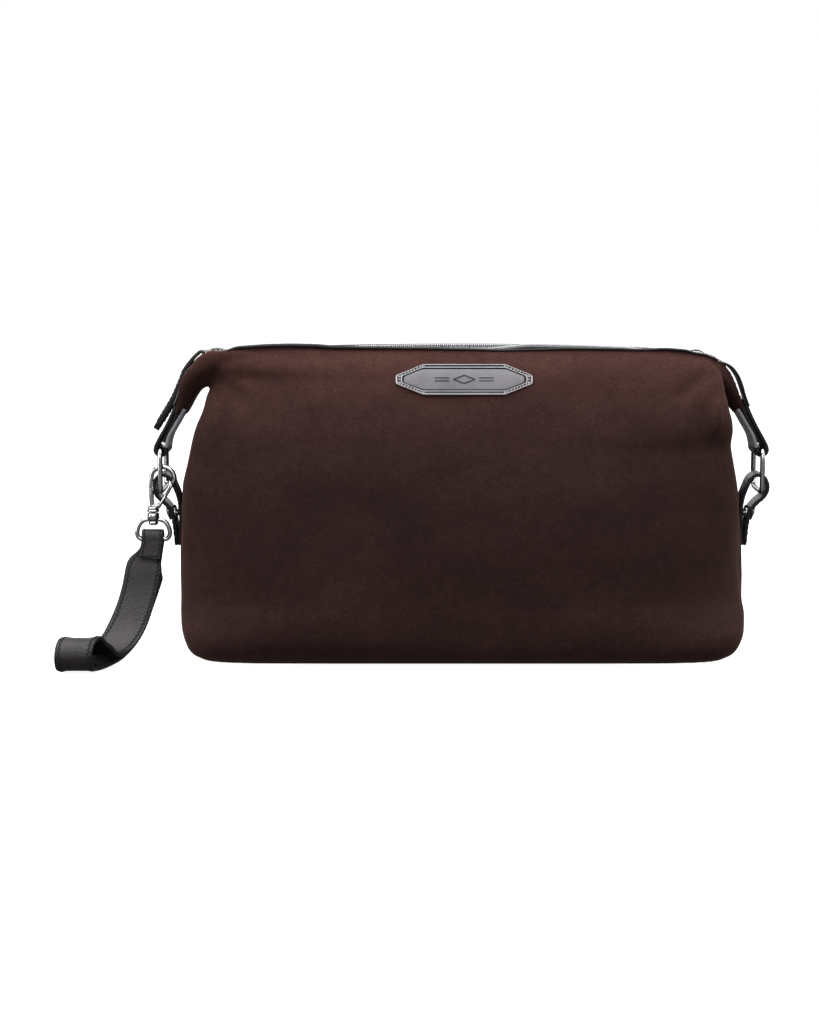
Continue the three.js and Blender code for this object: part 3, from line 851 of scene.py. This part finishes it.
def add_base_and_welts():
    rings = []
    for z, inset in ((1.6, 4.5), (FLOOR_GAP, 3.9), (0.0, 5.5), (0.0, 9.0), (0.0, 30.0)):
        rings.append([p.xy.to_3d() + Vector((0, 0, z)) for p in body_ring(0.6, inset, 160)])
    add_piece("suede_base", loft(rings), SUEDE_LOOK, "bag", ["base_panel"])
    for side, name in ((-1, "left"), (1, "right")):
        path = [body_point(0 if side > 0 else math.pi, z) for z in range(3, 128, 3)]
        path = spline([p + Vector((side * 0.1, 0, 0)) for p in path], 60)
        add_piece(f"{name}_seam_welt", sweep(path, circle(0.75, 10), Y_AXIS), TRIM, "bag",
                  [f"{name}_side_seam"])


def add_lining():
    """The cloth bag inside, open at the top, clear of the suede's dents."""
    heights = [8, 14, 26, 40, 56, 74, 92, 110, 124, 136]
    outside = [(4.6, 9.5), (5.4, 6.2)] + [(z, 4.8) for z in heights]
    inside = [(z, 6.0) for z in reversed(heights)] + [(6.8, 7.6), (6.4, 11.0)]
    rings = [body_ring(z, inset, 120) for z, inset in outside + inside]
    add_piece("lining_cloth", loft(rings), LINING, "bag", ["lining"])


# ---- top trim and zip ------------------------------------------------------------------------

# The line that the top's leather follows past the zip's end, down the outside of an ear.
SHOULDER = [(117.5, 146.6), (122.0, 144.9), (126.6, 142.4), (130.4, 139.2), (133.2, 135.2),
            (135.1, 130.5), (136.6, 126.0), (138.6, 121.0)]


def top_line():
    arc = [(x, zip_height(x)) for x in (0, 30, 60, 90, 107)]
    half = arc + SHOULDER
    line = [(-x, z) for x, z in reversed(half[1:])] + half
    return xz(line)


def zip_place(x, y, z):
    """A point given along the zip, across it and above its top line, placed on the zip's arc."""
    angle = x / ZIP_RADIUS
    reach = ZIP_RADIUS + z - 3.1 * max(0.0, (abs(x) - 115) / 12.5) ** 2
    return Vector((reach * math.sin(angle), y, ZIP_TOP - ZIP_RADIUS + reach * math.cos(angle)))


def border_rise(x):
    """Where the front border stands up above the teeth, to the right of the middle."""
    return 2.1 * smoothstep((x - 12) / 24) * smoothstep((104 - x) / 26) + 0.5


def teeth_rise(x):
    return 1.0 * math.exp(-(((x - 84) / 22) ** 2))


# where a border's flat section starts and ends across the zip
BORDER_INNER = 5.4
BORDER_OUTER = 15.5


def border_ring(point, out, side):
    """A border's section at a point of the top line, narrower and tucked in past the shoulder."""
    up = -out if out.z < 0 else out
    over = smoothstep((abs(point.x) - 119) / 12)
    inner = BORDER_INNER - 1.6 * over
    outer = BORDER_OUTER - 1.6 * over - 1.8 * smoothstep((138 - point.z) / 18)
    ripple = 0.12 * math.sin(point.x / 7.0 + side)
    sink = (1.9 if side > 0 else 1.7 - border_rise(point.x)) * (1 - over)
    low = -0.9 + 0.5 * over
    ring = []
    for u, v in ((0, low), (0, 0.0), (0.06, 0.3), (0.5, 0.32), (0.94, 0.28), (1, 0.0), (1, low),
                 (0.5, low)):
        y = inner + (outer - inner) * u
        fall = sink + 0.04 * (y - inner) * (1 - over) + 0.1 * over
        lean = EAR_LEAN * side * y * over
        ring.append(point + Vector((0, side * y, 0)) + up * (v - fall - lean + ripple * u))
    return ring


def add_border(side, name):
    path = spline(top_line(), 240)
    rings = [border_ring(point, out, side) for point, _, out in frames(path, Y_AXIS)]
    add_piece(f"{name}_border", loft(rings), BORDER, "bag",
              [f"{name}_zip_border"])
    line = [(p + Vector((0, side * 7.0, 0)) + Vector((0, 0, -1.05)), Vector((0, 0, 1)))
            for p in path if abs(p.x) < 117]
    add_sewing(f"{name}_border_stitching", [line], "bag", 2.6, 1.9, 0.26)


def binding_section(share):
    """A rolled edge, a little fuller at one place and thin at its ends."""
    thick = 0.62 + 0.42 * math.exp(-(((share - 0.2) / 0.12) ** 2))
    thick *= 0.35 + 0.65 * smoothstep(share / 0.06) * smoothstep((1 - share) / 0.06)
    return oval(1.1, thick, 12)


def add_binding(side, name):
    edge = [(x, side * 16.6, edge_height(x, side < 0) + 0.35) for x in range(-112, 113, 4)]
    end = [(-123.5, side * 15.0, 144.0), (-117.0, side * 16.0, 146.6)]
    route = end + edge + [(-x, y, z) for x, y, z in reversed(end)]
    add_piece(f"{name}_edge_binding", sweep(spline(route, 190), binding_section, Y_AXIS), TRIM,
              "bag", [f"{name}_binding"])


TAPE_Y = 5.4
TAPE_WIDTH = 6.4
TAPE_THICK = 0.6


def tooth(x, side):
    shape = rounded_box((-0.36, -0.6, -2.8), (0.36, 2.5, 0.1), 0.14, 1)
    rise = teeth_rise(x)
    return [zip_place(x + p.x, side * p.y, p.z + rise) for p in shape[0]], shape[1]


def add_zip():
    count = int(2 * (ZIP_HALF - 1) / TOOTH_PITCH)
    for side, name, shift in ((-1, "front", 0.0), (1, "back", 0.5)):
        row = [tooth((i + shift - count / 2) * TOOTH_PITCH, side) for i in range(count)]
        add_piece(f"{name}_zip_teeth", joined(*row), TEETH, "bag",
                  [f"{name}_teeth"], smooth=False)
        path = [zip_place(x, side * TAPE_Y, -2.3) for x in range(-126, 127, 6)]
        tape = sweep(path, strip(TAPE_WIDTH, TAPE_THICK), Y_AXIS)
        add_piece(f"{name}_tape", tape, TAPE, "bag", [f"{name}_zip_tape"])
    for side, name in ((-1, "left"), (1, "right")):
        clamp = rounded_box((-0.9, -3.0, -2.9), (0.9, 3.0, -0.3), 0.5, 3)
        shape = [zip_place(side * 126.6 + p.x, p.y, p.z) for p in clamp[0]], clamp[1]
        add_piece(f"{name}_stop", shape, SLIDER, "bag", [f"{name}_zip_stop"])


def on_slider(shape):
    """A shape given about the slider's middle, placed where the slider rests."""
    turn = Matrix.Rotation(-ZIP_REST / ZIP_RADIUS, 3, "Y")
    return [zip_place(-ZIP_REST, p[1], 0) + turn @ Vector((p[0], 0, p[2]))
            for p in shape[0]], shape[1]


SLIDER_HALF_X = 4.5
SLIDER_HALF_Y = 4.4


def plate(z0, z1):
    """One of the slider's two plates, narrower towards the zip's closed side."""
    outline = []
    for i in range(28):
        a = 2 * math.pi * i / 28
        x = SLIDER_HALF_X * math.copysign(abs(math.cos(a)) ** 0.55, math.cos(a))
        half_y = SLIDER_HALF_Y * (1 - 0.13 * smoothstep((x + SLIDER_HALF_X) / (2 * SLIDER_HALF_X)))
        outline.append((x, half_y * math.copysign(abs(math.sin(a)) ** 0.6, math.sin(a))))
    rings = []
    for share, size in ((0, 0.9), (0.2, 0.98), (0.5, 1), (0.8, 0.98), (1, 0.9)):
        rings.append([Vector((x * size, y * size, z0 + (z1 - z0) * share)) for x, y in outline])
    return loft(rings)


def add_slider():
    flanges = [rounded_box((-4.0, s - 0.6, z0), (4.0, s + 0.6, z1), 0.25)
               for s in (-3.6, 3.6) for z0, z1 in ((-1.6, 0.1), (-3.4, -3.0))]
    arch = spline([(-3.8, 0, 0.3), (-3.7, 0, 1.2), (-1.9, 0, 2.1), (1.6, 0, 2.0),
                   (3.5, 0, 1.2), (3.9, 0, 0.3)], 28)
    bail = sweep(arch, oval(1.1, 0.5, 12), Y_AXIS)
    body = joined(plate(0.12, 0.8), plate(-3.9, -3.3), bail, *flanges)
    add_piece("slider", on_slider(body), SLIDER, "slider", ["zip_slider"])


def add_pull_ring():
    loop = spline(rounded_loop(-4.1, 4.6, 2.3, 1.6), 60, closed=True)
    lean = Matrix.Rotation(-0.01, 3, "Y")
    loop = [lean @ Vector((p.x, p.y, 0)) + Vector((0, 0, 1.35)) for p in loop]
    pull = sweep(loop, oval(0.45, 0.75, 12), Vector((0, 0, 1)), closed=True)
    add_piece("pull_ring", on_slider(pull), SLIDER, "pull", ["zip_pull"])


def rounded_loop(x, half_x, half_y, corner):
    """A rectangle with round corners in the plane z = 0."""
    points = []
    for sx, sy, start in ((1, 1, 0), (-1, 1, 0.5), (-1, -1, 1), (1, -1, 1.5)):
        for i in range(4):
            a = (start + i / 6) * math.pi
            points.append((x + sx * (half_x - corner) + corner * math.cos(a),
                           sy * (half_y - corner) + corner * math.sin(a), 0.0))
    return points


PULLER_WIDTH = 10.5
PULLER = [(-126.9, 147.2), (-130.2, 144.2), (-133.3, 139.6), (-135.8, 133.6), (-140.0, 124.4),
          (-144.9, 116.3), (-149.2, 109.2)]
PULLER_LOOP = [(-126.9, 147.2), (-125.6, 147.0), (-125.7, 145.6), (-127.8, 143.9), (-131.0, 140.6)]


def add_puller():
    path = spline(xz(PULLER), 70)

    def section(share):
        width = PULLER_WIDTH * (1 - 0.55 * smoothstep((share - 0.93) / 0.07) ** 2)
        thick = 1.7 + 1.3 * smoothstep((share - 0.12) / 0.15)
        return strip(width * (0.75 + 0.25 * smoothstep(share / 0.15)), thick, 0.3)

    piece = add_piece("leather_puller", sweep(path, section, Y_AXIS), [TRIM, EDGE], "pull",
                      ["zip_puller"], pick=edge_pick)
    loop = spline(xz(PULLER_LOOP), 24)
    under = add_piece("puller_loop", sweep(loop, strip(7.9, 1.2), Y_AXIS), TRIM, "pull")
    lines = [line for lift in (-1.5, 1.5) for line in rails(path[18:66], Y_AXIS, 4.0, lift)]
    sewing = add_sewing("puller_stitching", lines, "pull", 2.4, 1.7, 0.26)
    for part in (piece, under, sewing):
        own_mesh(part)


# ---- ears and end tabs -----------------------------------------------------------------------

# middle of the ear's section, then its thickness and half width; the right one is fuller inside
LEFT_EAR = [(100.0, 138.4, 14.0, 17.5), (111.0, 140.2, 13.4, 18.2), (119.0, 139.2, 15.6, 18.0),
            (124.6, 136.2, 15.0, 17.0), (129.9, 132.0, 10.8, 15.8), (132.7, 126.6, 8.2, 14.2),
            (134.9, 120.6, 6.2, 12.6), (136.8, 116.6, 5.0, 11.6)]
RIGHT_EAR = [(100.0, 138.0, 14.0, 17.5), (111.0, 138.2, 12.4, 18.0), (117.6, 136.5, 13.6, 17.6),
             (123.6, 133.6, 16.0, 15.6), (128.4, 129.0, 12.5, 13.4), (131.8, 124.4, 8.4, 12.2),
             (134.2, 120.6, 5.6, 11.8), (135.8, 118.0, 4.2, 11.4)]
EAR_LEAN = 0.1


def ear_section(thick, half):
    """An ear across its middle line: low in the middle, with a raised rim, and tucked in below."""
    h = thick / 2
    shares = [(0.3, 0.62), (0.6, 0.68), (0.8, 0.78), (0.87, 1.06), (0.93, 1.14), (0.98, 0.95),
              (1.0, 0.5), (0.97, 0.12), (0.86, -0.1), (0.72, -0.3), (0.62, -0.6), (0.5, -0.92),
              (0.3, -1.0)]
    right = [(u * half, v * h) for u, v in shares]
    left = [(-u, v) for u, v in reversed(right)]
    return [(0.0, 0.6 * h)] + right + [(0.0, -h)] + left


def interpolate(rows, share):
    place = share * (len(rows) - 1)
    i = min(int(place), len(rows) - 2)
    t = place - i
    return [a + (b - a) * t for a, b in zip(rows[i], rows[i + 1])]


def ear(side):
    rows = RIGHT_EAR if side > 0 else LEFT_EAR
    path = spline(xz([(x, z) for x, z, _, _ in rows], side), 40)
    rings = []
    for i, (point, across, out) in enumerate(frames(path, Y_AXIS)):
        _, _, thick, half = interpolate(rows, i / 39)
        up = out if out.dot(Vector((side * 0.5, 0, 1))) > 0 else -out
        rings.append([point + across * u + up * (v - EAR_LEAN * u * smoothstep((point.z - 112) / 14))
                      for u, v in ear_section(thick, half)])
    return loft(rings)


TAB_WIDTH = 22.0
TAB_THICK = 1.9
# how far the tab's middle layer lies from the middle of the link's top bar
TAB_WRAP = 2.75
# the last row of the tab's dark outer face, before its inner one, coloured pale grey as a painted
# reflection
TAB_OUTER_ROW = 56


def add_end_tab(side, name):
    """A leather tab sewn to the ear and folded round the link's top bar."""
    outer = [(137.2, 124.5), (138.9, 120.2), (142.4, 112.6), (146.9, 104.6)]
    turn = []
    for degrees in (20, -20, -65, -110, -155, -195):
        a = math.radians(degrees)
        turn.append((LINK_X + TAB_WRAP * math.cos(a), LINK_TOP + TAB_WRAP * math.sin(a)))
    inner = [(141.9, 106.2), (138.7, 111.9), (134.2, 119.6)]
    path = spline(xz(outer + turn + inner, side), 90)

    def section(share):
        taper = 1 - 0.1 * smoothstep(1 - share / 0.2)
        return strip(TAB_WIDTH * taper, TAB_THICK)

    def pick(index):
        row = index // STRIP_POINTS
        # rows past the outer face take the pale painted reflection
        return 2 if row > TAB_OUTER_ROW else edge_pick(index)

    add_piece(f"{name}_tab", sweep(path, section, Y_AXIS), [TRIM, EDGE, INNER], "bag",
              [f"{name}_end_tab"], pick=pick)
    middle = spline(xz([(136.0, 121.5), (140.5, 112.2), (143.6, 106.0), (144.7, 103.6)], side), 24)
    core = sweep(middle, lambda share: strip(20.8, 2.6 - 0.5 * share), Y_AXIS)
    add_piece(f"{name}_tab_core", core, EDGE, "bag")
    outside = [row for row in path if row.z > LINK_TOP + 3][:44]
    lift = -1.0 if side > 0 else 1.0
    lines = rails(outside, Y_AXIS, TAB_WIDTH / 2 - 1.8, lift)
    add_sewing(f"{name}_tab_stitching", lines, "bag", 2.8, 2.0, 0.28)


# ---- links and snap tabs ---------------------------------------------------------------------

def add_link(side, name):
    middle = (LINK_TOP + LINK_BOTTOM) / 2
    loop = rounded_loop(0, LINK_HALF, (LINK_TOP - LINK_BOTTOM) / 2, 2.8)
    path = spline([(side * LINK_X, u, middle + v) for u, v, _ in loop], 96, closed=True)
    add_piece(f"{name}_wire_link", sweep(path, circle(LINK_WIRE, 16), X_AXIS, closed=True), NICKEL,
              f"{name}_link", [f"{name}_link"])


BASE_BAND = [(138.0, 52.6), (137.3, 60.0), (137.2, 68.0), (138.2, 76.0), (140.9, 83.4)]
BEND_BAND = [(140.6, 82.8), (142.3, 85.6), (145.4, 87.0), (148.6, 85.7), (150.1, 82.6)]
FLAP_BAND = [(150.0, 83.0), (150.1, 80.4), (148.4, 76.6), (144.6, 73.1), (141.7, 69.0),
             (140.0, 61.0), (139.6, 52.2)]


def add_band(piece_name, side, controls, body, replaces=(), round_end=False):
    """A stretch of the snap tab's leather. Gives its path and its piece."""
    path = spline(xz(controls, side), 48)

    def section(share):
        end = smoothstep((share - 0.9) / 0.1) if round_end else 0.0
        return strip(BAND_WIDTH * (1 - 0.3 * end * end), BAND_THICK, 0.12)

    return path, add_piece(piece_name, sweep(path, section, Y_AXIS), [TRIM, EDGE], body,
                           replaces, pick=edge_pick)


def add_snap_tab(side, name):
    base, _ = add_band(f"{name}_band_base", side, BASE_BAND, "bag", [f"{name}_snap_strap"])
    _, bend = add_band(f"{name}_band_bend", side, BEND_BAND, None)
    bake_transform(bend)
    flap, _ = add_band(f"{name}_band_flap", side, FLAP_BAND, f"{name}_snap",
                       [f"{name}_snap_flap"], True)
    lift = -0.95 * side
    for part, path, body, height in (("flap", flap[4:44], f"{name}_snap", -lift),
                                     ("base", base[2:18], "bag", lift)):
        lines = rails(path, Y_AXIS, BAND_WIDTH / 2 - 1.4, height)
        add_sewing(f"{name}_{part}_stitching", lines, body, 2.6, 1.9, 0.26)


# a snap's parts: where each lies out from the middle and above SNAP_Z, then its turned profile
SNAP_PARTS = {
    "cap": (143.3, 0.6, [(0, -1.6), (1.6, -1.6), (1.7, -0.2), (4.4, -0.15), (4.55, 0.1),
                         (4.4, 0.42), (3.9, 0.62), (3.4, 0.7), (2.6, 1.1), (1.4, 1.45), (0, 1.55)]),
    "socket": (139.6, 0.0, [(0, 0.8), (2.0, 0.8), (2.1, 0), (3.6, 0), (3.9, 0.3), (3.9, 1.0),
                            (3.6, 1.3), (0, 1.3)]),
    "stud": (138.1, 0.0, [(0, -0.6), (3.7, -0.6), (3.9, -0.2), (3.7, 0.3), (2.4, 0.6), (1.5, 0.9),
                          (1.3, 1.4), (1.65, 1.8), (1.4, 2.2), (0, 2.3)]),
}


def add_snap_metal(side, name):
    axis = Vector((side * math.cos(SNAP_TILT), 0, -math.sin(SNAP_TILT)))
    for part, body, count in (("cap", f"{name}_snap", 40), ("socket", f"{name}_snap", 32),
                              ("stud", "bag", 32)):
        x, rise, profile = SNAP_PARTS[part]
        shape = lathe(profile, Vector((side * x, 0, SNAP_Z + rise)), axis, count)
        add_piece(f"{name}_{part}", shape, NICKEL, body, [f"{name}_snap_{part}"])


# ---- patch -----------------------------------------------------------------------------------

PATCH_SINK = 0.35
PATCH_BOW = 0.35
# the two points that start the long top and bottom sides of the outline, which carry no rope
PLAIN_SIDES = {5, 17}
# which bands between the levels of the patch's section are dark, as painted shade on its walls and in
# its grooves, and which are its pale ridges, coloured as a painted highlight
DARK_BANDS = {0, 1, 4, 6, 8, 9}
RIDGE_BANDS = {2, 3, 7}
# the channel floor under the rope, painted shade except along the plain long sides
ROPE_BAND = 5
ROPE_PITCH = 1.5
ROPE_LEVEL = 0.95
MARK_LEVEL = 1.2


def patch_outline(inset):
    """The octagon moved inwards, more at its ends than along its sides, with eased corners."""
    w = PATCH_HALF - 1.3 * inset
    h = PATCH_RISE - 0.84 * inset
    corner = PATCH_HALF - 13.2 + 0.1 * inset
    end = 2.1 - 0.18 * inset
    octagon = [Vector(p) for p in ((-w, -end), (-corner, -h), (corner, -h), (w, -end), (w, end),
                                   (corner, h), (-corner, h), (-w, end))]
    outline = []
    for i, corner_point in enumerate(octagon):
        before = octagon[i - 1]
        after = octagon[(i + 1) % 8]
        cut = 0.8
        cut_in = corner_point + (before - corner_point).normalized() * cut
        cut_out = corner_point + (after - corner_point).normalized() * cut
        outline.extend([cut_in, corner_point.lerp((cut_in + cut_out) / 2, 0.5), cut_out])
    return outline


def patch_place(u, v, out):
    """A point along the patch, up it and out of it, on the panel's leaning and bowed front."""
    low = body_level(PATCH_Z - PATCH_RISE)[1]
    high = body_level(PATCH_Z + PATCH_RISE)[1]
    tilt = math.atan2(low - high, 2 * PATCH_RISE)
    turn = Matrix.Rotation(math.pi / 2 - tilt, 3, "X")
    at = Vector((PATCH_X, -(low + high) / 2 - PATCH_SINK, PATCH_Z))
    bow = PATCH_BOW * (u / PATCH_HALF) ** 2
    return at + turn @ Vector((u, v, out - bow))


def add_patch_plate():
    levels = [(0.25, -0.8), (0.0, 0.2), (0.0, 0.9), (0.15, 1.25), (0.6, 1.3), (0.75, 0.6),
              (1.75, 0.6), (1.9, 1.3), (2.3, 1.3), (2.45, 0.5), (3.0, 0.5), (3.2, 1.15),
              (3.6, 1.22)]
    rings = []
    for inset, height in levels:
        rings.append([patch_place(p.x, p.y, height) for p in patch_outline(inset)])
    sides = len(rings[0])

    def pick(index):
        band, segment = divmod(index, sides)
        if band == ROPE_BAND:
            return 0 if segment in PLAIN_SIDES else 1
        return 1 if band in DARK_BANDS else 2 if band in RIDGE_BANDS else 0

    add_piece("patch_plate", loft(rings), [GREY, DARK, RIDGE], "bag", ["patch"],
              pick=pick)


def add_patch_rope():
    """Slanting ridges in the channel round the patch, except along its long sides."""
    channel = patch_outline(1.28)
    rope = []
    for i in range(len(channel)):
        if i in PLAIN_SIDES:
            continue
        a, b = channel[i], channel[(i + 1) % len(channel)]
        steps = max(1, round((b - a).length / ROPE_PITCH))
        along = (b - a).normalized()
        lean = Vector((-along.y, along.x)) * 0.34
        for k in range(steps):
            middle = a.lerp(b, (k + 0.5) / steps)
            start = middle - along * 0.22 - lean
            end = middle + along * 0.22 + lean
            rope.append(capsule(patch_place(*start, ROPE_LEVEL), patch_place(*end, ROPE_LEVEL), 0.3))
    # the rope ridges take the pale painted highlight colour
    add_piece("patch_rope", joined(*rope), RIDGE, "bag")


def add_patch_mark():
    """A plain lozenge between two pairs of bars."""
    def line(start, end, radius):
        return capsule(patch_place(*start, MARK_LEVEL), patch_place(*end, MARK_LEVEL), radius)

    lozenge = [(0, -2.1), (5.2, 0), (0, 2.1), (-5.2, 0)]
    mark = [line(lozenge[i], lozenge[(i + 1) % 4], 0.22) for i in range(4)]
    for side in (-1, 1):
        for y in (-0.75, 0.75):
            mark.append(line((side * 7.2, y), (side * 14.0, y), 0.2))
    add_piece("patch_mark", joined(*mark), DARK, "bag")


# ---- clip and swivel -------------------------------------------------------------------------

EYE_X = -145.1
EYE_Z = 86.2
EYE_RADIUS = 5.6
GATE_FOOT = (-147.2, HOOK_Y, 73.0)
SWIVEL_AXIS = (SWIVEL_X, HOOK_Y, 0)


def add_hook():
    route = [(-150.2, 71.4), (-150.65, 76.0), (-150.75, 81.5)]
    for i in range(9):
        a = math.pi - math.pi * i / 8
        route.append((EYE_X + EYE_RADIUS * math.cos(a), EYE_Z + EYE_RADIUS * math.sin(a)))
    route += [(-139.8, 84.9), (-140.5, 83.9)]
    path = spline(xz(route, 1, HOOK_Y), 90)

    def wire(share):
        swell = 1 + 0.1 * smoothstep((share - 0.85) / 0.1)
        return oval(1.25 * swell, 1.18 * swell, 18)

    neck = [(0, 69.6), (2.2, 69.6), (2.9, 69.8), (3.0, 70.3), (2.9, 70.8), (2.3, 70.95),
            (2.3, 71.15), (2.7, 71.3), (2.75, 71.8), (2.4, 72.3), (1.5, 72.6), (0, 72.7)]
    collar = lathe(neck, SWIVEL_AXIS, (0, 0, 1), 40)
    heel = rounded_box((-150.9, HOOK_Y - 1.35, 71.2), (-146.6, HOOK_Y + 1.35, 73.4), 0.7, 3)
    add_piece("hook", joined(sweep(path, wire, Y_AXIS), collar, heel), NICKEL, "hook",
              ["hook_body"])


def add_gate():
    blade = spline(xz([(-147.4, 72.2), (-143.9, 77.4), (-140.6, 83.2)], 1, HOOK_Y), 30)

    def flat(share):
        size = 0.72 + 0.28 * smoothstep(share / 0.15) * smoothstep((1 - share) / 0.12)
        return oval(1.2 * size, 0.82 * size, 14)

    foot = lathe([(0, -1.15), (1.2, -1.1), (1.4, -0.8), (1.4, 0.8), (1.2, 1.1), (0, 1.15)],
                 GATE_FOOT, (0, 1, 0), 28)
    add_piece("gate", joined(sweep(blade, flat, Y_AXIS), foot), NICKEL, "gate",
              ["hook_gate"])
    pin = [(0, -1.7), (0.7, -1.7), (0.8, -1.5), (0.8, 1.5), (0.7, 1.7), (0, 1.7)]
    add_piece("gate_rivet", lathe(pin, GATE_FOOT, (0, 1, 0), 20), NICKEL, "hook",
              ["gate_pin"])


def add_swivel():
    head = [(0, 63.3), (1.7, 63.3), (2.3, 63.7), (2.4, 64.4), (2.2, 65.2), (1.05, 65.5),
            (1.0, 69.4), (0, 69.4)]
    add_piece("swivel_stud", lathe(head, SWIVEL_AXIS, (0, 0, 1), 32), NICKEL, "hook",
              ["swivel_pin"])
    half = [(3.0, RING_BOTTOM), (6.3, 56.4), (7.7, 57.9), (7.9, 60.4), (6.9, 63.2), (5.2, 65.2),
            (2.8, 66.0)]
    stirrup = [(-x, z) for x, z in half] + half[::-1]
    path = spline([(SWIVEL_X + x, HOOK_Y, z) for x, z in stirrup], 96, closed=True)
    boss = lathe([(1.42, 65.9), (2.6, 65.95), (2.9, 66.4), (2.9, 68.8), (2.6, 69.2), (1.42, 69.25)],
                 SWIVEL_AXIS, (0, 0, 1), 36)
    ring = sweep(path, oval(1.05, 1.15, 20), Y_AXIS, closed=True)
    add_piece("stirrup", joined(ring, boss), NICKEL, "swivel", ["swivel_ring"])


# ---- wrist strap -----------------------------------------------------------------------------

STRAP_ROUTE = [
    (-151.0, -12.9, 52.0), (-152.6, -13.7, 47.5), (-154.6, -15.9, 42), (-156.0, -19, 34),
    (-158.1, -23.5, 25.5), (-161.3, -29.5, 16.5), (-165.9, -37, 9.6), (-170.8, -44.5, 6.8),
    (-175.4, -50.5, 10.2), (-178.8, -56, 15.0), (-181.2, -62, 14.7), (-182.2, -66.4, 9.4),
    (-181.9, -64.5, 3.6), (-179.8, -57, 1.75), (-175.2, -45, 1.95), (-170.2, -34.5, 4.3),
    (-165.8, -25.5, 9.2), (-161.6, -18.6, 17.5), (-157.8, -13, 28), (-154.6, -9.8, 38),
    (-151.9, -8.2, 48),
]


def strap_width(share):
    widen = smoothstep((share - 0.004) / 0.05) * smoothstep((0.985 - share) / 0.04)
    return NECK_WIDTH + (STRAP_WIDTH - NECK_WIDTH) * widen


def add_strap_loop():
    path = spline(STRAP_ROUTE, STRAP_ROWS)
    # its back faces take painted shade, darker than the strap's own colour
    add_piece("strap_loop", sweep(path, lambda t: strip(strap_width(t), STRAP_THICK, 0.1), X_AXIS),
              [STRAP, EDGE, STRAP_BACK_SHADE], "strap", ["wrist_strap"],
              pick=lambda index: 2 if index % STRIP_POINTS in STRIP_BACK else edge_pick(index))
    threads = []
    for sign in (-1, 1):
        rail = []
        for i, (point, side, out) in enumerate(frames(path, X_AXIS)):
            inset = strap_width(i / (STRAP_ROWS - 1)) / 2 - 1.9
            rail.append((point + side * inset * sign + out * (STRAP_THICK / 2 + 0.02), out))
        threads.append(stitches(rail[3:-4], 2.3, 1.75, 0.4, 0.42 * sign))
    add_piece("strap_stitching", joined(*threads), THREAD, "strap")


def add_strap_neck():
    """The narrow leather that is folded over the ring's lower bar."""
    radius = NECK_INSIDE + NECK_THICK / 2
    legs = [(-15.8, 47.3), (-15.0, 50.6), (HOOK_Y - radius - 0.2, RING_BOTTOM - 1.0)]
    turn = []
    for degrees in (160, 120, 80, 40, 10):
        a = math.radians(degrees)
        turn.append((HOOK_Y + radius * math.cos(a), RING_BOTTOM + 0.6 + (radius + 0.6) * math.sin(a)))
    back = [(HOOK_Y + radius, RING_BOTTOM - 1.0), (-9.7, 50.0), (-9.9, 42.0)]
    shape = [(NECK_X - 0.15 * max(0.0, 56 - z), y, z) for y, z in legs + turn + back]
    path = spline(shape, 80)
    add_piece("strap_neck", sweep(path, strip(NECK_WIDTH, NECK_THICK), X_AXIS), [STRAP, EDGE], "strap",
              ["strap_chape"], pick=edge_pick)
    front = [row for row in path if row.y < HOOK_Y + 0.5]
    made = [stitches(rail, 2.2, 1.6, 0.34, 0.3)
            for rail in rails(front, X_AXIS, NECK_WIDTH / 2 - 1.6, -0.87)]
    cross = [(Vector((-151.5 + x, -16.4, 48.6)), Vector((0, -1, 0))) for x in range(-4, 5)]
    add_piece("neck_stitching", joined(*made, stitches(cross, 2.0, 1.4, 0.34)), THREAD, "strap")


# ---- the CAD node that stays -----------------------------------------------------------------

def finish_nodes():
    for material_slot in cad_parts["base_board"].material_slots:
        material_slot.material = BOARD


make_camera()
make_studio()
add_suede()
add_base_and_welts()
add_lining()
for side, name in ((-1, "front"), (1, "back")):
    add_border(side, name)
    add_binding(side, name)
add_zip()
add_slider()
add_pull_ring()
add_puller()
for side, name in ((-1, "left"), (1, "right")):
    add_end_tab(side, name)
    add_link(side, name)
    add_snap_tab(side, name)
    add_snap_metal(side, name)
add_patch_plate()
add_patch_rope()
add_patch_mark()
add_hook()
add_gate()
add_swivel()
add_strap_loop()
add_strap_neck()
finish_nodes()
